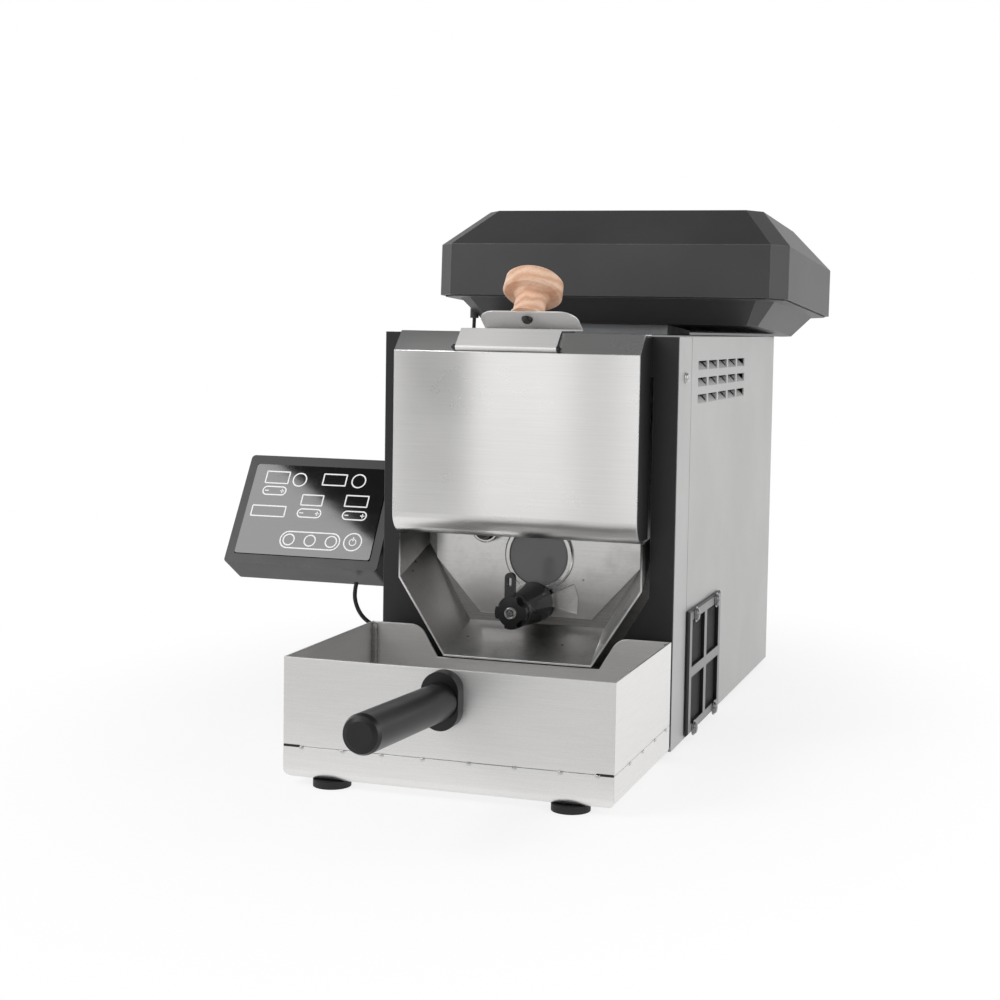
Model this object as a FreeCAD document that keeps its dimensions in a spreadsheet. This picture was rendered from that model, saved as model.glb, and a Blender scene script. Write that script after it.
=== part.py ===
"""Home coffee bean roaster: a parametric assembly of separate sheet-metal, turned and moulded pieces.

Frame: millimetres, +X to the right, +Y to the back, +Z up.  Sizes in the sheet are measured from the
middle of the body's front face and from a base line just under the table; every piece is then moved so
that the part's origin is the centre of its overall box, on the table.
"""
import FreeCAD
import Part
import Sketcher
import math
import os
import re

from FreeCAD import Placement, Rotation, Vector

doc = FreeCAD.newDocument("CoffeeRoaster")
sheet = doc.addObject("Spreadsheet::Sheet", "Sizes")
NAMES = []
NODES = []


# ---------------------------------------------------------------- sizes
def size(name, value, note):
    """Write one driving dimension into the sheet, with its alias and what it is."""
    NAMES.append(name)
    row = len(NAMES)
    sheet.set("A%d" % row, name)
    sheet.set("B%d" % row, str(value))
    sheet.setAlias("B%d" % row, name)
    sheet.set("C%d" % row, note)


# body
size("table_z", 5.5, "height of the table above the base line")
size("body_w", 210, "outer width of the body")
size("body_len", 364, "outer depth of the body")
size("body_top", 289, "top face of the body above the base line")
size("body_low", 9, "underside of the body above the base line")
size("case_t", 1.2, "steel sheet of the case")
size("plate_t", 1.5, "thicker plates: front panel, bulkheads, drum front")
size("frame_len", 40, "depth of the front frame up to its seam with the wrap")
size("seam", 0.3, "seam and seating gap between neighbouring pieces")
size("wrap_gap", 0.8, "shadow gap between the front frame and the wrap")
size("panel_round", 6, "rounded lower corners of the front panel")
size("window_w", 176, "opening of the front panel round the chute")
size("window_low", 63, "lower edge of that opening")
size("window_top", 262, "upper edge of that opening")
# louvre slots in the sides
size("vent_first", 61.7, "start of the first slot behind the front face")
size("vent_pitch", 35, "slot pitch along the side")
size("vent_len", 29.5, "length of a slot")
size("vent_tall", 6.2, "height of a slot")
size("vent_top", 272.1, "top of the upper row")
size("vent_rise", 11.8, "row pitch")
size("lance_in", 5, "how far a louvre's lance is pressed into the body")
size("lance_up", 5, "rise of the lance inside its slot")
# cooling fan and its guard on the right side
size("fan_y", 90, "centre of the cooling fan behind the front face")
size("fan_z", 54.5, "centre of the cooling fan above the base line")
size("fan_w", 80, "square frame of a fan")
size("fan_t", 25, "thickness of a fan")
size("fan_bore", 76, "air opening of a fan")
size("hub_d", 30, "hub of a fan rotor")
size("blade_gap", 1.2, "tip clearance of the blades")
size("guard_front", 39, "front edge of the guard")
size("guard_back", 145, "rear edge of the guard")
size("guard_low", 11.2, "lower edge of the guard")
size("guard_top", 99, "upper edge of the guard")
size("guard_t", 3.2, "how far the guard stands proud of the side")
size("guard_bar", 8, "width of the guard's side bars")
size("guard_rail", 7, "width of the guard's level bars")
size("guard_screw_y", 69, "screw spacing along the side")
size("guard_screw_z", 80.6, "screw spacing in height")
size("mesh_t", 0.8, "mesh behind the guard")
# screws
size("screw_d", 4, "shank of an M4 screw")
size("head_d", 8, "pan head of an M4 screw")
size("head_t", 2.8, "height of a pan head")
size("wide_d", 11, "washer head of a guard screw")
size("wide_t", 3.4, "height of a washer head")
size("side_screw_y", 21.2, "side screw of the front frame behind the front face")
size("side_screw_z", 261.3, "side screw of the front frame above the base line")
# front cover
size("cover_w", 172.6, "width of the front cover")
size("cover_out", 30.6, "how far the cover stands out of the body")
size("cover_low", 151.4, "lower edge of the cover")
size("cover_curl", 15, "radius of the curled lower edge")
size("cover_bevel", 13.5, "bevel between the cover's front and top")
size("cover_top", 290.2, "top of the cover")
size("notch_w", 69.6, "cut-out for the bean lid")
size("notch_x", -6, "centre of that cut-out")
size("notch_low", 280.6, "lower edge of that cut-out")
# chute
size("chute_front", 16, "how far the chute's lip stands out of the body")
size("chute_lip_w", 174, "width across the lip")
size("chute_lip_side", 119, "height where the lip's sides turn in")
size("chute_lip_floor", 106, "width of the floor at the lip")
size("chute_lip_low", 66, "height of the floor at the lip")
size("chute_back_w", 164, "width across the back")
size("chute_back_side", 138, "height where the back's sides turn in")
size("chute_back_floor", 100, "width of the floor at the back")
size("chute_back_low", 84, "height of the floor at the back")
size("chute_top", 150, "upper edge of the chute")
# drum and its front plate
size("bulkhead_y", 28, "front face of the front bulkhead behind the front face of the body")
size("drum_z", 172, "drum axis above the base line")
size("drum_r", 70, "inner radius of the drum")
size("drum_t", 1, "drum sheet")
size("drum_len", 198, "length of the drum")
size("drum_gap", 2.2, "running gap in front of the drum")
size("shaft_d", 10, "drum shaft")
size("run_gap", 0.05, "radial running clearance of a shaft or pin")
size("rear_y", 262, "front face of the rear bulkhead behind the front face of the body")
size("front_low", 91, "lower edge of the drum's front plate")
size("front_flat", 82, "width of its flat lower edge")
size("front_side", 128.5, "height where its sides become upright")
size("front_w", 150, "width of the plate")
size("front_top", 256, "upper edge of the plate")
# sight glass, sampler port
size("glass_x", 2, "centre of the sight glass")
size("glass_z", 134, "height of the sight glass")
size("glass_r", 21.3, "radius of the sight glass")
size("ring_r", 25, "outer radius of its ring")
size("port_x", -36, "centre of the sampler port")
size("port_z", 152.5, "height of the sampler port")
size("port_r", 10.7, "outer radius of the sampler port")
# discharge gate
size("gate_x", -1, "axis of the discharge gate")
size("gate_z", 101, "height of that axis")
size("spindle_d", 8, "discharge spindle")
size("sleeve_r", 11.5, "outer radius of the sleeve at its front")
size("sleeve_back_r", 14.5, "outer radius of the sleeve at the drum plate")
size("sleeve_front", 17, "front end of the sleeve before the body")
size("lever_t", 4, "thickness of the lever")
size("lever_up", 26.5, "reach of the lever above its axis")
size("lever_w", 7, "width of the lever's tab")
size("lever_off", 3, "lever's tab left of its axis")
size("knob_r", 11.2, "outer radius of the lobed knob")
size("knob_t", 6, "thickness of the lobed knob")
size("outlet_in", 14, "inner radius of the outlet sector")
size("outlet_out", 32, "outer radius of the outlet sector")
# bean lid, wooden knob, hopper
size("lid_w", 71, "width of the bean lid")
size("lid_t", 1, "sheet of the bean lid")
size("lid_z", 292.5, "top face of the closed lid")
size("lid_back", 30, "rear end of the lid's flat behind the front face")
size("tab_reach", 23.5, "length of the lid's tab")
size("tab_lean", 58, "lean of the tab from the upright, towards the front")
size("tab_round", 12, "rounded corners of the tab")
size("curl_r", 1.9, "outer radius of the lid's curled front lip")
size("pin_d", 2, "lid hinge pin")
size("knob_at", 15, "knob screw along the tab from its fold")
size("neck_d", 23.4, "neck of the wooden knob")
size("neck_len", 17.7, "length of that neck")
size("ball_d", 42, "head of the wooden knob")
size("ball_t", 13.4, "thickness of that head")
size("hopper_w", 66, "width of the bean hopper")
size("hopper_front", 23, "front of the hopper's mouth before the body")
size("hopper_back", 20, "rear of the hopper's mouth behind the front face")
size("spout_top", 227, "upper edge of the hopper's spout")
size("spout_low", 199, "lower edge of the hopper's spout")
# base pan, cooling tray, handle, feet
size("pan_w", 214.4, "width of the base pan and tray")
size("pan_front", 153.5, "front of the pan before the body")
size("pan_back", 12.9, "rear of the pan before the body")
size("pan_low", 10, "underside of the pan")
size("pan_top", 30.5, "seam between pan and tray")
size("pan_round", 6, "rounded lower edge of the pan")
size("tray_top", 86.5, "rim of the tray")
size("tray_t", 1.2, "sheet of pan and tray")
size("ledge", 9, "ledge that carries the tray's screen")
size("notch_side", 18, "tray's rear cut-out beyond the chute's floor on either side")
size("notch_round", 12, "rounding where that cut-out meets the rim")
size("screen_t", 0.8, "perforated screen")
size("foot_d", 24, "rubber foot")
size("foot_x", 78, "feet left and right of the middle")
size("foot_pan_y", 144, "pan feet before the body")
size("foot_rear_y", 330, "rear feet behind the front face")
size("foot_front_y", 40, "front body feet behind the front face")
size("handle_z", 68.5, "centre of the handle's base")
size("handle_w", 24, "width of the handle's base")
size("handle_tall", 36, "height of the handle's base")
size("handle_t", 9.5, "thickness of the handle's base")
size("grip_d", 23, "handle grip")
size("grip_len", 120, "length of the grip")
size("grip_round", 4, "rounding of the grip's end")
size("grip_tilt", 3, "upward tilt of the grip")
# hood
size("hood_y", 193.1, "front lower edge of the hood's belt behind the front face")
size("hood_z", 319, "height of that edge")
size("hood_tilt", 2.9, "downward tilt of the hood to the back")
size("hood_w", 285.6, "width of the belt")
size("hood_len", 245.9, "depth of the belt")
size("belt_tall", 40.9, "height of the belt")
size("belt_cut", 12.5, "corner chamfer of the belt")
size("roof_w", 229.2, "width of the roof")
size("roof_in", 37.4, "inset of the roof at front and rear")
size("roof_up", 71.7, "height of the roof above the belt's lower edge")
size("roof_cut", 11.6, "corner chamfer of the roof")
size("hood_t", 2, "sheet of the hood")
size("shell_ledge", 12, "overhang of the belt over the lower shell")
size("flange_gap", 1.2, "gap between the lower shell's flange and the belt round it")
size("keel_w", 229.2, "width of the hood's underside")
size("keel_in", 34.2, "inset of the underside at front and rear")
size("keel_down", 19.6, "depth of the underside below the belt")
size("keel_cut", 7.6, "corner chamfer of the underside")
size("stack_v", 84, "centre of the exhaust opening behind the belt's front edge")
size("stack_w", 72, "width of the square exhaust opening")
size("hinge_pin_d", 3, "hood hinge pins")
size("hinge_r", 3.4, "outer radius of the hood's hinge knuckles")
# control panel
size("panel_w", 121, "width of the control panel")
size("panel_tall", 88.5, "height of its face")
size("panel_t", 27, "thickness of the panel")
size("panel_gap", 9.5, "gap between panel and body")
size("panel_y", 9, "lower front edge behind the front face")
size("panel_z", 118, "height of that edge")
size("panel_tilt", 31.4, "backward tilt of the panel")
size("pane_w", 107, "width of the glass")
size("pane_tall", 73, "height of the glass")
size("pane_t", 2, "thickness of the glass")
size("cord_d", 3, "signal cords")
doc.recompute()


def bound(text):
    """Turn an expression in size names into one that reads the sheet."""
    return re.sub(r"[a-z][a-z0-9_]*", lambda m: "Sizes." + m.group(0) if m.group(0) in NAMES else m.group(0), text)


def number(text):
    """Value of an expression in size names."""
    return float(sheet.evalExpression(bound(text)))


# ---------------------------------------------------------------- places that several pieces share
HALF = "body_w / 2"
HOOD_COS = "cos(hood_tilt * 1deg)"
HOOD_SIN = "sin(hood_tilt * 1deg)"
PANEL_OUT = "(body_w / 2 + panel_gap + panel_w)"
GRIP_TIP = "((grip_len - grip_round) * cos(grip_tilt * 1deg) + (grip_d / 2 - grip_round)" \
           " * sin(grip_tilt * 1deg) + grip_round)"
FRONT_END = "(pan_front + handle_t + %s)" % GRIP_TIP
REAR_END = "(hood_y + hood_len * %s + belt_tall * %s)" % (HOOD_COS, HOOD_SIN)
SHIFT_X = "(%s - hood_w / 2) / 2" % PANEL_OUT
SHIFT_Y = "(%s - %s) / 2" % (FRONT_END, REAR_END)
PLATE_Y = "(bulkhead_y - plate_t)"
DRUM_Y = "(bulkhead_y + plate_t + drum_gap + 2)"
BEVEL_IN = "tan(22.5deg)"


# ---------------------------------------------------------------- modelling helpers
def place(item, x="0", y="0", z="0", axis=(1, 0, 0), angle="0"):
    """Put a piece at a point of the design frame, turned about an axis, and move it to the part's frame."""
    item.Placement = Placement(Vector(0, 0, 0), Rotation(Vector(*axis), 1))
    item.setExpression("Placement.Base.x", bound("(%s) + %s" % (x, SHIFT_X)))
    item.setExpression("Placement.Base.y", bound("(%s) + %s" % (y, SHIFT_Y)))
    item.setExpression("Placement.Base.z", bound("(%s) - table_z" % z))
    item.setExpression("Placement.Rotation.Angle", bound(angle))


def body(label, **where):
    """A named sub-part made of PartDesign features."""
    made = doc.addObject("PartDesign::Body", label)
    made.Label = label
    made.AllowCompound = True
    place(made, **where)
    NODES.append(made)
    return made


def sketch_on(owner, plane, height):
    """A sketch on one of the body's own origin planes, moved along that plane's normal."""
    sketch = owner.newObject("Sketcher::SketchObject", owner.Label + "_sketch")
    face = [item for item in owner.Origin.OriginFeatures if item.Role == plane + "_Plane"][0]
    sketch.AttachmentSupport = [(face, "")]
    sketch.MapMode = "FlatFace"
    sketch.setExpression("AttachmentOffset.Base.z", bound(height))
    return sketch


def pin_point(sketch, item, end, x, y):
    """Tie one point of a sketch to size expressions."""
    for kind, text in (("DistanceX", x), ("DistanceY", y)):
        row = sketch.addConstraint(Sketcher.Constraint(kind, -1, 1, item, end, number(text)))
        sketch.setExpression("Constraints[%d]" % row, bound(text))


def outline(sketch, points):
    """A closed chain of lines through corners given as size expressions."""
    corners = [Vector(number(x), number(y), 0) for x, y in points]
    first = sketch.GeometryCount
    for start, end in zip(corners, corners[1:] + corners[:1]):
        sketch.addGeometry(Part.LineSegment(start, end), False)
    count = len(points)
    for index in range(count):
        sketch.addConstraint(
            Sketcher.Constraint("Coincident", first + index, 2, first + (index + 1) % count, 1))
    for index, (x, y) in enumerate(points):
        pin_point(sketch, first + index, 1, x, y)


def circle(sketch, x, y, radius):
    """A circle whose centre and radius follow size expressions."""
    made = sketch.addGeometry(
        Part.Circle(Vector(number(x), number(y), 0), Vector(0, 0, 1), number(radius)), False)
    pin_point(sketch, made, 3, x, y)
    row = sketch.addConstraint(Sketcher.Constraint("Radius", made, number(radius)))
    sketch.setExpression("Constraints[%d]" % row, bound(radius))


def long_slot(sketch, x, y, length, tall):
    """A level slot with round ends; x, y is its centre."""
    reach = "((%s) - (%s)) / 2" % (length, tall)
    radius = number(tall) / 2
    middle = Vector(number(x), number(y), 0)
    half = number(reach)
    up = Vector(0, radius, 0)
    left = middle - Vector(half, 0, 0)
    right = middle + Vector(half, 0, 0)
    top = sketch.addGeometry(Part.LineSegment(left + up, right + up), False)
    low = sketch.addGeometry(Part.LineSegment(right - up, left - up), False)
    flat = Vector(0, 0, 1)
    first = sketch.addGeometry(
        Part.ArcOfCircle(Part.Circle(left, flat, radius), math.pi / 2, math.pi * 3 / 2), False)
    last = sketch.addGeometry(
        Part.ArcOfCircle(Part.Circle(right, flat, radius), -math.pi / 2, math.pi / 2), False)
    for line, end, arc, tip in ((top, 1, first, 1), (low, 2, first, 2), (top, 2, last, 2), (low, 1, last, 1)):
        sketch.addConstraint(Sketcher.Constraint("Tangent", line, end, arc, tip))
    sketch.addConstraint(Sketcher.Constraint("Equal", first, last))
    row = sketch.addConstraint(Sketcher.Constraint("Radius", first, radius))
    sketch.setExpression("Constraints[%d]" % row, bound("(%s) / 2" % tall))
    pin_point(sketch, first, 3, "(%s) - %s" % (x, reach), y)
    pin_point(sketch, last, 3, "(%s) + %s" % (x, reach), y)


def extrude(owner, name, plane, start, depth, draw, cut=False):
    """Pad or pocket from a level along the plane's axis towards its positive side.

    draw is a function that draws in the sketch.  The XZ plane's sketch faces -Y, so there the level
    and the direction are turned round.
    """
    level = "-(%s)" % start if plane == "XZ" else start
    sketch = sketch_on(owner, plane, level)
    draw(sketch)
    feature = owner.newObject("PartDesign::Pocket" if cut else "PartDesign::Pad", owner.Label + "_" + name)
    feature.Profile = sketch
    feature.Type = 0
    feature.setExpression("Length", bound(depth))
    feature.Reversed = (plane == "XZ") != cut
    before = owner_volume(owner, feature)
    doc.recompute()
    after = feature.Shape.Volume
    if cut and after > before - 1e-3:
        raise ValueError("%s: pocket %s removes nothing" % (owner.Label, name))
    return feature


def owner_volume(owner, feature):
    """Volume of the body before a feature was added."""
    base = feature.BaseFeature
    return base.Shape.Volume if base else 0


def block(owner, name, plane, start, depth, points, cut=False):
    """Extrude a closed outline."""
    return extrude(owner, name, plane, start, depth, lambda sketch: outline(sketch, points), cut)


def disc(owner, name, plane, start, depth, x, y, radius, cut=False, bore=None):
    """Extrude a circle, with a bore where one is given."""
    def draw(sketch):
        circle(sketch, x, y, radius)
        if bore:
            circle(sketch, x, y, bore)
    return extrude(owner, name, plane, start, depth, draw, cut)


def box_points(x0, x1, y0, y1):
    """Corners of a rectangle."""
    return [(x0, y0), (x1, y0), (x1, y1), (x0, y1)]


def turned(owner, name, along, points, cut=False):
    """Revolve a closed profile of (place along the axis, radius) about the body's X, Y or Z axis."""
    sketch = sketch_on(owner, "YZ" if along == "Y" else "XZ", "0")
    outline(sketch, [(r, a) for a, r in points] if along == "Z" else points)
    feature = owner.newObject("PartDesign::Groove" if cut else "PartDesign::Revolution",
                              owner.Label + "_" + name)
    feature.Profile = sketch
    feature.ReferenceAxis = (sketch, ["V_Axis" if along == "Z" else "H_Axis"])
    feature.Angle = 360
    doc.recompute()
    return feature


def axis_of(owner, name):
    """One of the body's own axes."""
    return [item for item in owner.Origin.OriginFeatures if item.Role == name + "_Axis"][0]


def polar(owner, name, features, axis, count):
    """Repeat features round one of the body's axes."""
    made = owner.newObject("PartDesign::PolarPattern", owner.Label + "_" + name)
    made.Originals = features
    made.Axis = (axis_of(owner, axis), [""])
    made.Angle = 360
    made.Occurrences = count
    owner.Tip = made
    doc.recompute()
    return made


def grid(owner, name, features, first, first_step, first_count, second=None, second_step="0", second_count=1):
    """Repeat features in rows along one or two of the body's axes."""
    made = owner.newObject("PartDesign::LinearPattern", owner.Label + "_" + name)
    made.Originals = features
    made.Direction = (axis_of(owner, first.strip("-")), [""])
    made.Reversed = first.startswith("-")
    made.setExpression("Length", bound("(%s) * %d" % (first_step, first_count - 1)))
    made.Occurrences = first_count
    if second:
        made.Direction2 = (axis_of(owner, second.strip("-")), [""])
        made.Reversed2 = second.startswith("-")
        made.setExpression("Length2", bound("(%s) * %d" % (second_step, second_count - 1)))
        made.Occurrences2 = second_count
    owner.Tip = made
    doc.recompute()
    return made


def edge_runs(edge, axis):
    """True where a straight edge runs along a principal axis."""
    if edge.Curve.TypeId != "Part::GeomLine":
        return False
    run = edge.Curve.Direction
    return abs(abs(run[axis]) - 1) < 1e-6


def dress(owner, name, base, kind, amount, chosen):
    """Fillet or chamfer the edges of a feature that a test picks."""
    doc.recompute()
    picked = ["Edge%d" % (i + 1) for i, edge in enumerate(base.Shape.Edges) if chosen(edge)]
    if not picked:
        raise ValueError("%s: no edge for %s" % (owner.Label, name))
    feature = owner.newObject("PartDesign::" + kind, owner.Label + "_" + name)
    feature.Base = (base, picked)
    feature.setExpression("Radius" if kind == "Fillet" else "Size", bound(amount))
    doc.recompute()
    return feature


def loft(owner, name, plane, sections, cut=False):
    """Ruled loft between outlines at several levels of one plane."""
    drawn = []
    for level, points in sections:
        sketch = sketch_on(owner, plane, "-(%s)" % level if plane == "XZ" else level)
        outline(sketch, points)
        drawn.append(sketch)
    feature = owner.newObject("PartDesign::SubtractiveLoft" if cut else "PartDesign::AdditiveLoft",
                              owner.Label + "_" + name)
    feature.Profile = drawn[0]
    feature.Sections = drawn[1:]
    feature.Ruled = True
    doc.recompute()
    return feature


def cut_corners(half_w, y0, y1, corner):
    """Rectangle with chamfered corners, centred on X."""
    return [("-(%s) + (%s)" % (half_w, corner), y0), ("(%s) - (%s)" % (half_w, corner), y0),
            (half_w, "(%s) + (%s)" % (y0, corner)), (half_w, "(%s) - (%s)" % (y1, corner)),
            ("(%s) - (%s)" % (half_w, corner), y1), ("-(%s) + (%s)" % (half_w, corner), y1),
            ("-(%s)" % half_w, "(%s) - (%s)" % (y1, corner)),
            ("-(%s)" % half_w, "(%s) + (%s)" % (y0, corner))]


# ---------------------------------------------------------------- body
def make_body_wrap():
    """Bent side-and-top sheet of the body with lanced louvres, fan opening and exhaust opening."""
    item = body("body_wrap")
    out = [("-(%s)" % HALF, "body_low"), ("-(%s)" % HALF, "body_top"), (HALF, "body_top"), (HALF, "body_low")]
    inn = [("%s - case_t" % HALF, "body_low"), ("%s - case_t" % HALF, "body_top - case_t"),
           ("-(%s - case_t)" % HALF, "body_top - case_t"), ("-(%s - case_t)" % HALF, "body_low")]
    block(item, "bend", "XZ", "frame_len + wrap_gap", "body_len - frame_len - wrap_gap", out + inn)
    foot = "(vent_top - vent_tall)"
    slot = block(item, "slot", "YZ", "-(%s + 1)" % HALF, "body_w + 2",
                 box_points("vent_first", "vent_first + vent_len", foot, "vent_top"), cut=True)
    lances = []
    for side, face in (("right", 1), ("left", -1)):
        profile = [(HALF, "%s - 0.4" % foot), (HALF, foot), ("%s - lance_in" % HALF, "%s + lance_up" % foot),
                   ("%s - lance_in" % HALF, "%s + lance_up - case_t" % foot),
                   ("%s - case_t" % HALF, "%s - 0.4" % foot)]
        lances.append(block(item, side + "_lance", "XZ", "vent_first", "vent_len",
                            [("%d * (%s)" % (face, x), z) for x, z in profile]))
    grid(item, "slots", [slot] + lances, "Y", "vent_pitch", 5, "-Z", "vent_rise", 3)
    disc(item, "fan_hole", "YZ", "%s - case_t - 1" % HALF, "case_t + 2", "fan_y", "fan_z", "fan_bore / 2", cut=True)
    stack_y = "hood_y + stack_v * %s - 1.4" % HOOD_COS
    block(item, "stack_hole", "XY", "body_top - case_t - 1", "case_t + 2",
          box_points("-(stack_w / 2)", "stack_w / 2", "%s - stack_w / 2 + 2" % stack_y,
                     "%s + stack_w / 2 - 2" % stack_y), cut=True)


def make_front_frame():
    """Flange frame in front of the wrap, with a slot for its side screws and the hopper's cut-out."""
    item = body("front_frame")
    out = [("-(%s)" % HALF, "body_low"), ("-(%s)" % HALF, "body_top"), (HALF, "body_top"), (HALF, "body_low")]
    inn = [("%s - case_t" % HALF, "body_low"), ("%s - case_t" % HALF, "body_top - case_t"),
           ("-(%s - case_t)" % HALF, "body_top - case_t"), ("-(%s - case_t)" % HALF, "body_low")]
    block(item, "bend", "XZ", "plate_t", "frame_len - plate_t", out + inn)
    extrude(item, "slot", "YZ", "-(%s + 1)" % HALF, "body_w + 2",
            lambda sk: long_slot(sk, "side_screw_y", "side_screw_z", "screw_d * 2", "screw_d + seam"), cut=True)
    block(item, "mouth", "XY", "body_top - case_t - 1", "case_t + 2",
          box_points("notch_x - hopper_w / 2 - seam", "notch_x + hopper_w / 2 + seam", "plate_t - 1",
                     "hopper_back + seam"), cut=True)


def make_front_panel():
    """Black front plate with the window for the chute and the air hole behind the base pan."""
    item = body("front_panel")
    plate = block(item, "plate", "XZ", "0", "plate_t",
                  box_points("-(%s)" % HALF, HALF, "body_low", "body_top"))
    dress(item, "round", plate, "Fillet", "panel_round",
          lambda edge: edge_runs(edge, 1) and edge.CenterOfMass.z < number("body_low") + 1)
    low = "chute_lip_side - 6"
    block(item, "window", "XZ", "-1", "plate_t + 2",
          [("-(chute_back_floor / 2 + 8)", "window_low"), ("chute_back_floor / 2 + 8", "window_low"),
           ("window_w / 2", low), ("window_w / 2", "window_top"), ("-(window_w / 2)", "window_top"),
           ("-(window_w / 2)", low)], cut=True)
    block(item, "mouth", "XZ", "-1", "plate_t + 2",
          box_points("notch_x - hopper_w / 2 - seam", "notch_x + hopper_w / 2 + seam", "window_top - 1",
                     "body_top + 1"), cut=True)
    block(item, "air", "XZ", "-1", "plate_t + 2",
          box_points("-(duct_w / 2 - tray_t)", "duct_w / 2 - tray_t", "pan_low + 3", "pan_top - 3"), cut=True)


size("duct_w", 104, "width of the air duct between pan and body")
size("plug_w", 27.4, "cut-out for the mains inlet")
size("plug_tall", 19.6, "height of that cut-out")
size("plug_x", -55, "centre of the mains inlet")
size("plug_z", 40, "height of the mains inlet")
size("switch_x", -10, "centre of the power switch")
size("switch_w", 19, "cut-out for the power switch")
size("switch_tall", 13, "height of that cut-out")
size("shield_w", 184, "width of the heat shield round the drum")
size("shield_low", 74, "underside of the heat shield")
size("shield_top", 266, "top of the heat shield")
size("shield_cut", 40, "corner chamfer of the heat shield")
doc.recompute()


def make_rear_panel():
    """Rear plate with the cut-outs for inlet and switch and a block of motor vents."""
    item = body("rear_panel")
    block(item, "plate", "XZ", "body_len - plate_t", "plate_t",
          box_points("-(%s - case_t - seam / 2)" % HALF, "%s - case_t - seam / 2" % HALF,
                     "body_low + plate_t + seam", "body_top - case_t - seam"))
    for name, x, w, tall in (("inlet", "plug_x", "plug_w", "plug_tall"),
                             ("switch", "switch_x", "switch_w", "switch_tall")):
        block(item, name, "XZ", "body_len - plate_t - 1", "plate_t + 2",
              box_points("%s - %s / 2" % (x, w), "%s + %s / 2" % (x, w), "plug_z - %s / 2" % tall,
                         "plug_z + %s / 2" % tall), cut=True)
    first = block(item, "vent", "XZ", "body_len - plate_t - 1", "plate_t + 2",
                  box_points("-(vent_pitch + vent_len / 2)", "-(vent_pitch - vent_len / 2)",
                             "drum_z + vent_rise * 2", "drum_z + vent_rise * 2 + vent_tall"), cut=True)
    grid(item, "vents", [first], "X", "vent_pitch", 3, "-Z", "vent_rise", 5)


def make_bottom_plate():
    """Bottom plate between the side sheets."""
    item = body("bottom_plate")
    block(item, "plate", "XY", "body_low", "plate_t",
          box_points("-(%s - case_t - seam / 2)" % HALF, "%s - case_t - seam / 2" % HALF,
                     "plate_t + seam", "body_len"))


def make_feet():
    """Six rubber feet: two under the pan, four under the body."""
    item = body("rubber_feet")
    for name, y, top in (("pan", "-(foot_pan_y)", "pan_low"), ("front", "foot_front_y", "body_low"),
                         ("rear", "foot_rear_y", "body_low")):
        for side in ("foot_x", "-(foot_x)"):
            disc(item, name, "XY", "table_z", "%s - table_z" % top, side, y, "foot_d / 2")


# ---------------------------------------------------------------- front cover
def cover_profile(inset, back):
    """Side profile of the cover, drawn a given distance inside its outer face."""
    return [(back, "cover_low + %s" % inset), ("-(cover_out - %s)" % inset, "cover_low + %s" % inset),
            ("-(cover_out - %s)" % inset, "cover_top - cover_bevel - %s * %s" % (inset, BEVEL_IN)),
            ("-(cover_out) + cover_bevel + %s * %s" % (inset, BEVEL_IN), "cover_top - %s" % inset),
            (back, "cover_top - %s" % inset)]


def lower_front(edge):
    """True for the level edge at the cover's lower front."""
    spot = edge.CenterOfMass
    return (edge_runs(edge, 0) and spot.y < 4 - number("cover_out") and spot.z < number("cover_low") + 4)


def make_front_cover():
    """Stainless cover: one bent sheet with a curled lower edge, a bevelled top bend and the lid's cut-out."""
    item = body("front_cover")
    block(item, "form", "YZ", "-(cover_w / 2)", "cover_w", cover_profile("0", "0"))
    inner = block(item, "inside", "YZ", "-(cover_w / 2 + 1)", "cover_w + 2", cover_profile("case_t", "1"), cut=True)
    middle = 0.5 * number("case_t") - number("cover_out")
    bend = dress(item, "inner_curl", inner, "Fillet", "cover_curl - case_t",
                 lambda edge: lower_front(edge) and edge.CenterOfMass.y > middle)
    dress(item, "curl", bend, "Fillet", "cover_curl",
          lambda edge: lower_front(edge) and edge.CenterOfMass.y < middle)
    block(item, "under", "XY", "cover_low - 1", "case_t + 2",
          box_points("-(cover_w / 2 + 1)", "cover_w / 2 + 1", "-(cover_out - cover_curl - 5)", "1"), cut=True)
    block(item, "notch", "XY", "notch_low", "cover_top - notch_low + 1",
          box_points("notch_x - notch_w / 2", "notch_x + notch_w / 2", "-(cover_out + 1)", "1"), cut=True)


BEVEL_LINE = "(cover_top - cover_bevel + cover_out)"
LIP_Z = "(notch_low - 1)"
LIP_Y = "(notch_low - 1 - %s - (curl_r + 0.4) * sqrt(2))" % BEVEL_LINE


def make_cover_side(label, inner):
    """Black textured side wall inside the cover's bent edge."""
    item = body(label)
    plate = block(item, "plate", "YZ", inner, "case_t", cover_profile("(case_t + seam)", "-(seam)"))
    dress(item, "curl", plate, "Fillet", "cover_curl - case_t", lower_front)


# ---------------------------------------------------------------- chute, bulkheads and drum front
def trough(wide, side, floor, low, top, wall):
    """Open trough section: outer corners, then the inner ones one sheet further in."""
    outer = [("-(%s / 2)" % wide, top), ("-(%s / 2)" % wide, side), ("-(%s / 2)" % floor, low),
             ("%s / 2" % floor, low), ("%s / 2" % wide, side), ("%s / 2" % wide, top)]
    drop = "%s * 0.4" % wall
    inner = [("%s / 2 - %s" % (wide, wall), top), ("%s / 2 - %s" % (wide, wall), "%s + %s" % (side, drop)),
             ("%s / 2 - %s" % (floor, drop), "%s + %s" % (low, wall)),
             ("-(%s / 2 - %s)" % (floor, drop), "%s + %s" % (low, wall)),
             ("-(%s / 2 - %s)" % (wide, wall), "%s + %s" % (side, drop)),
             ("-(%s / 2 - %s)" % (wide, wall), top)]
    return outer + inner


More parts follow.
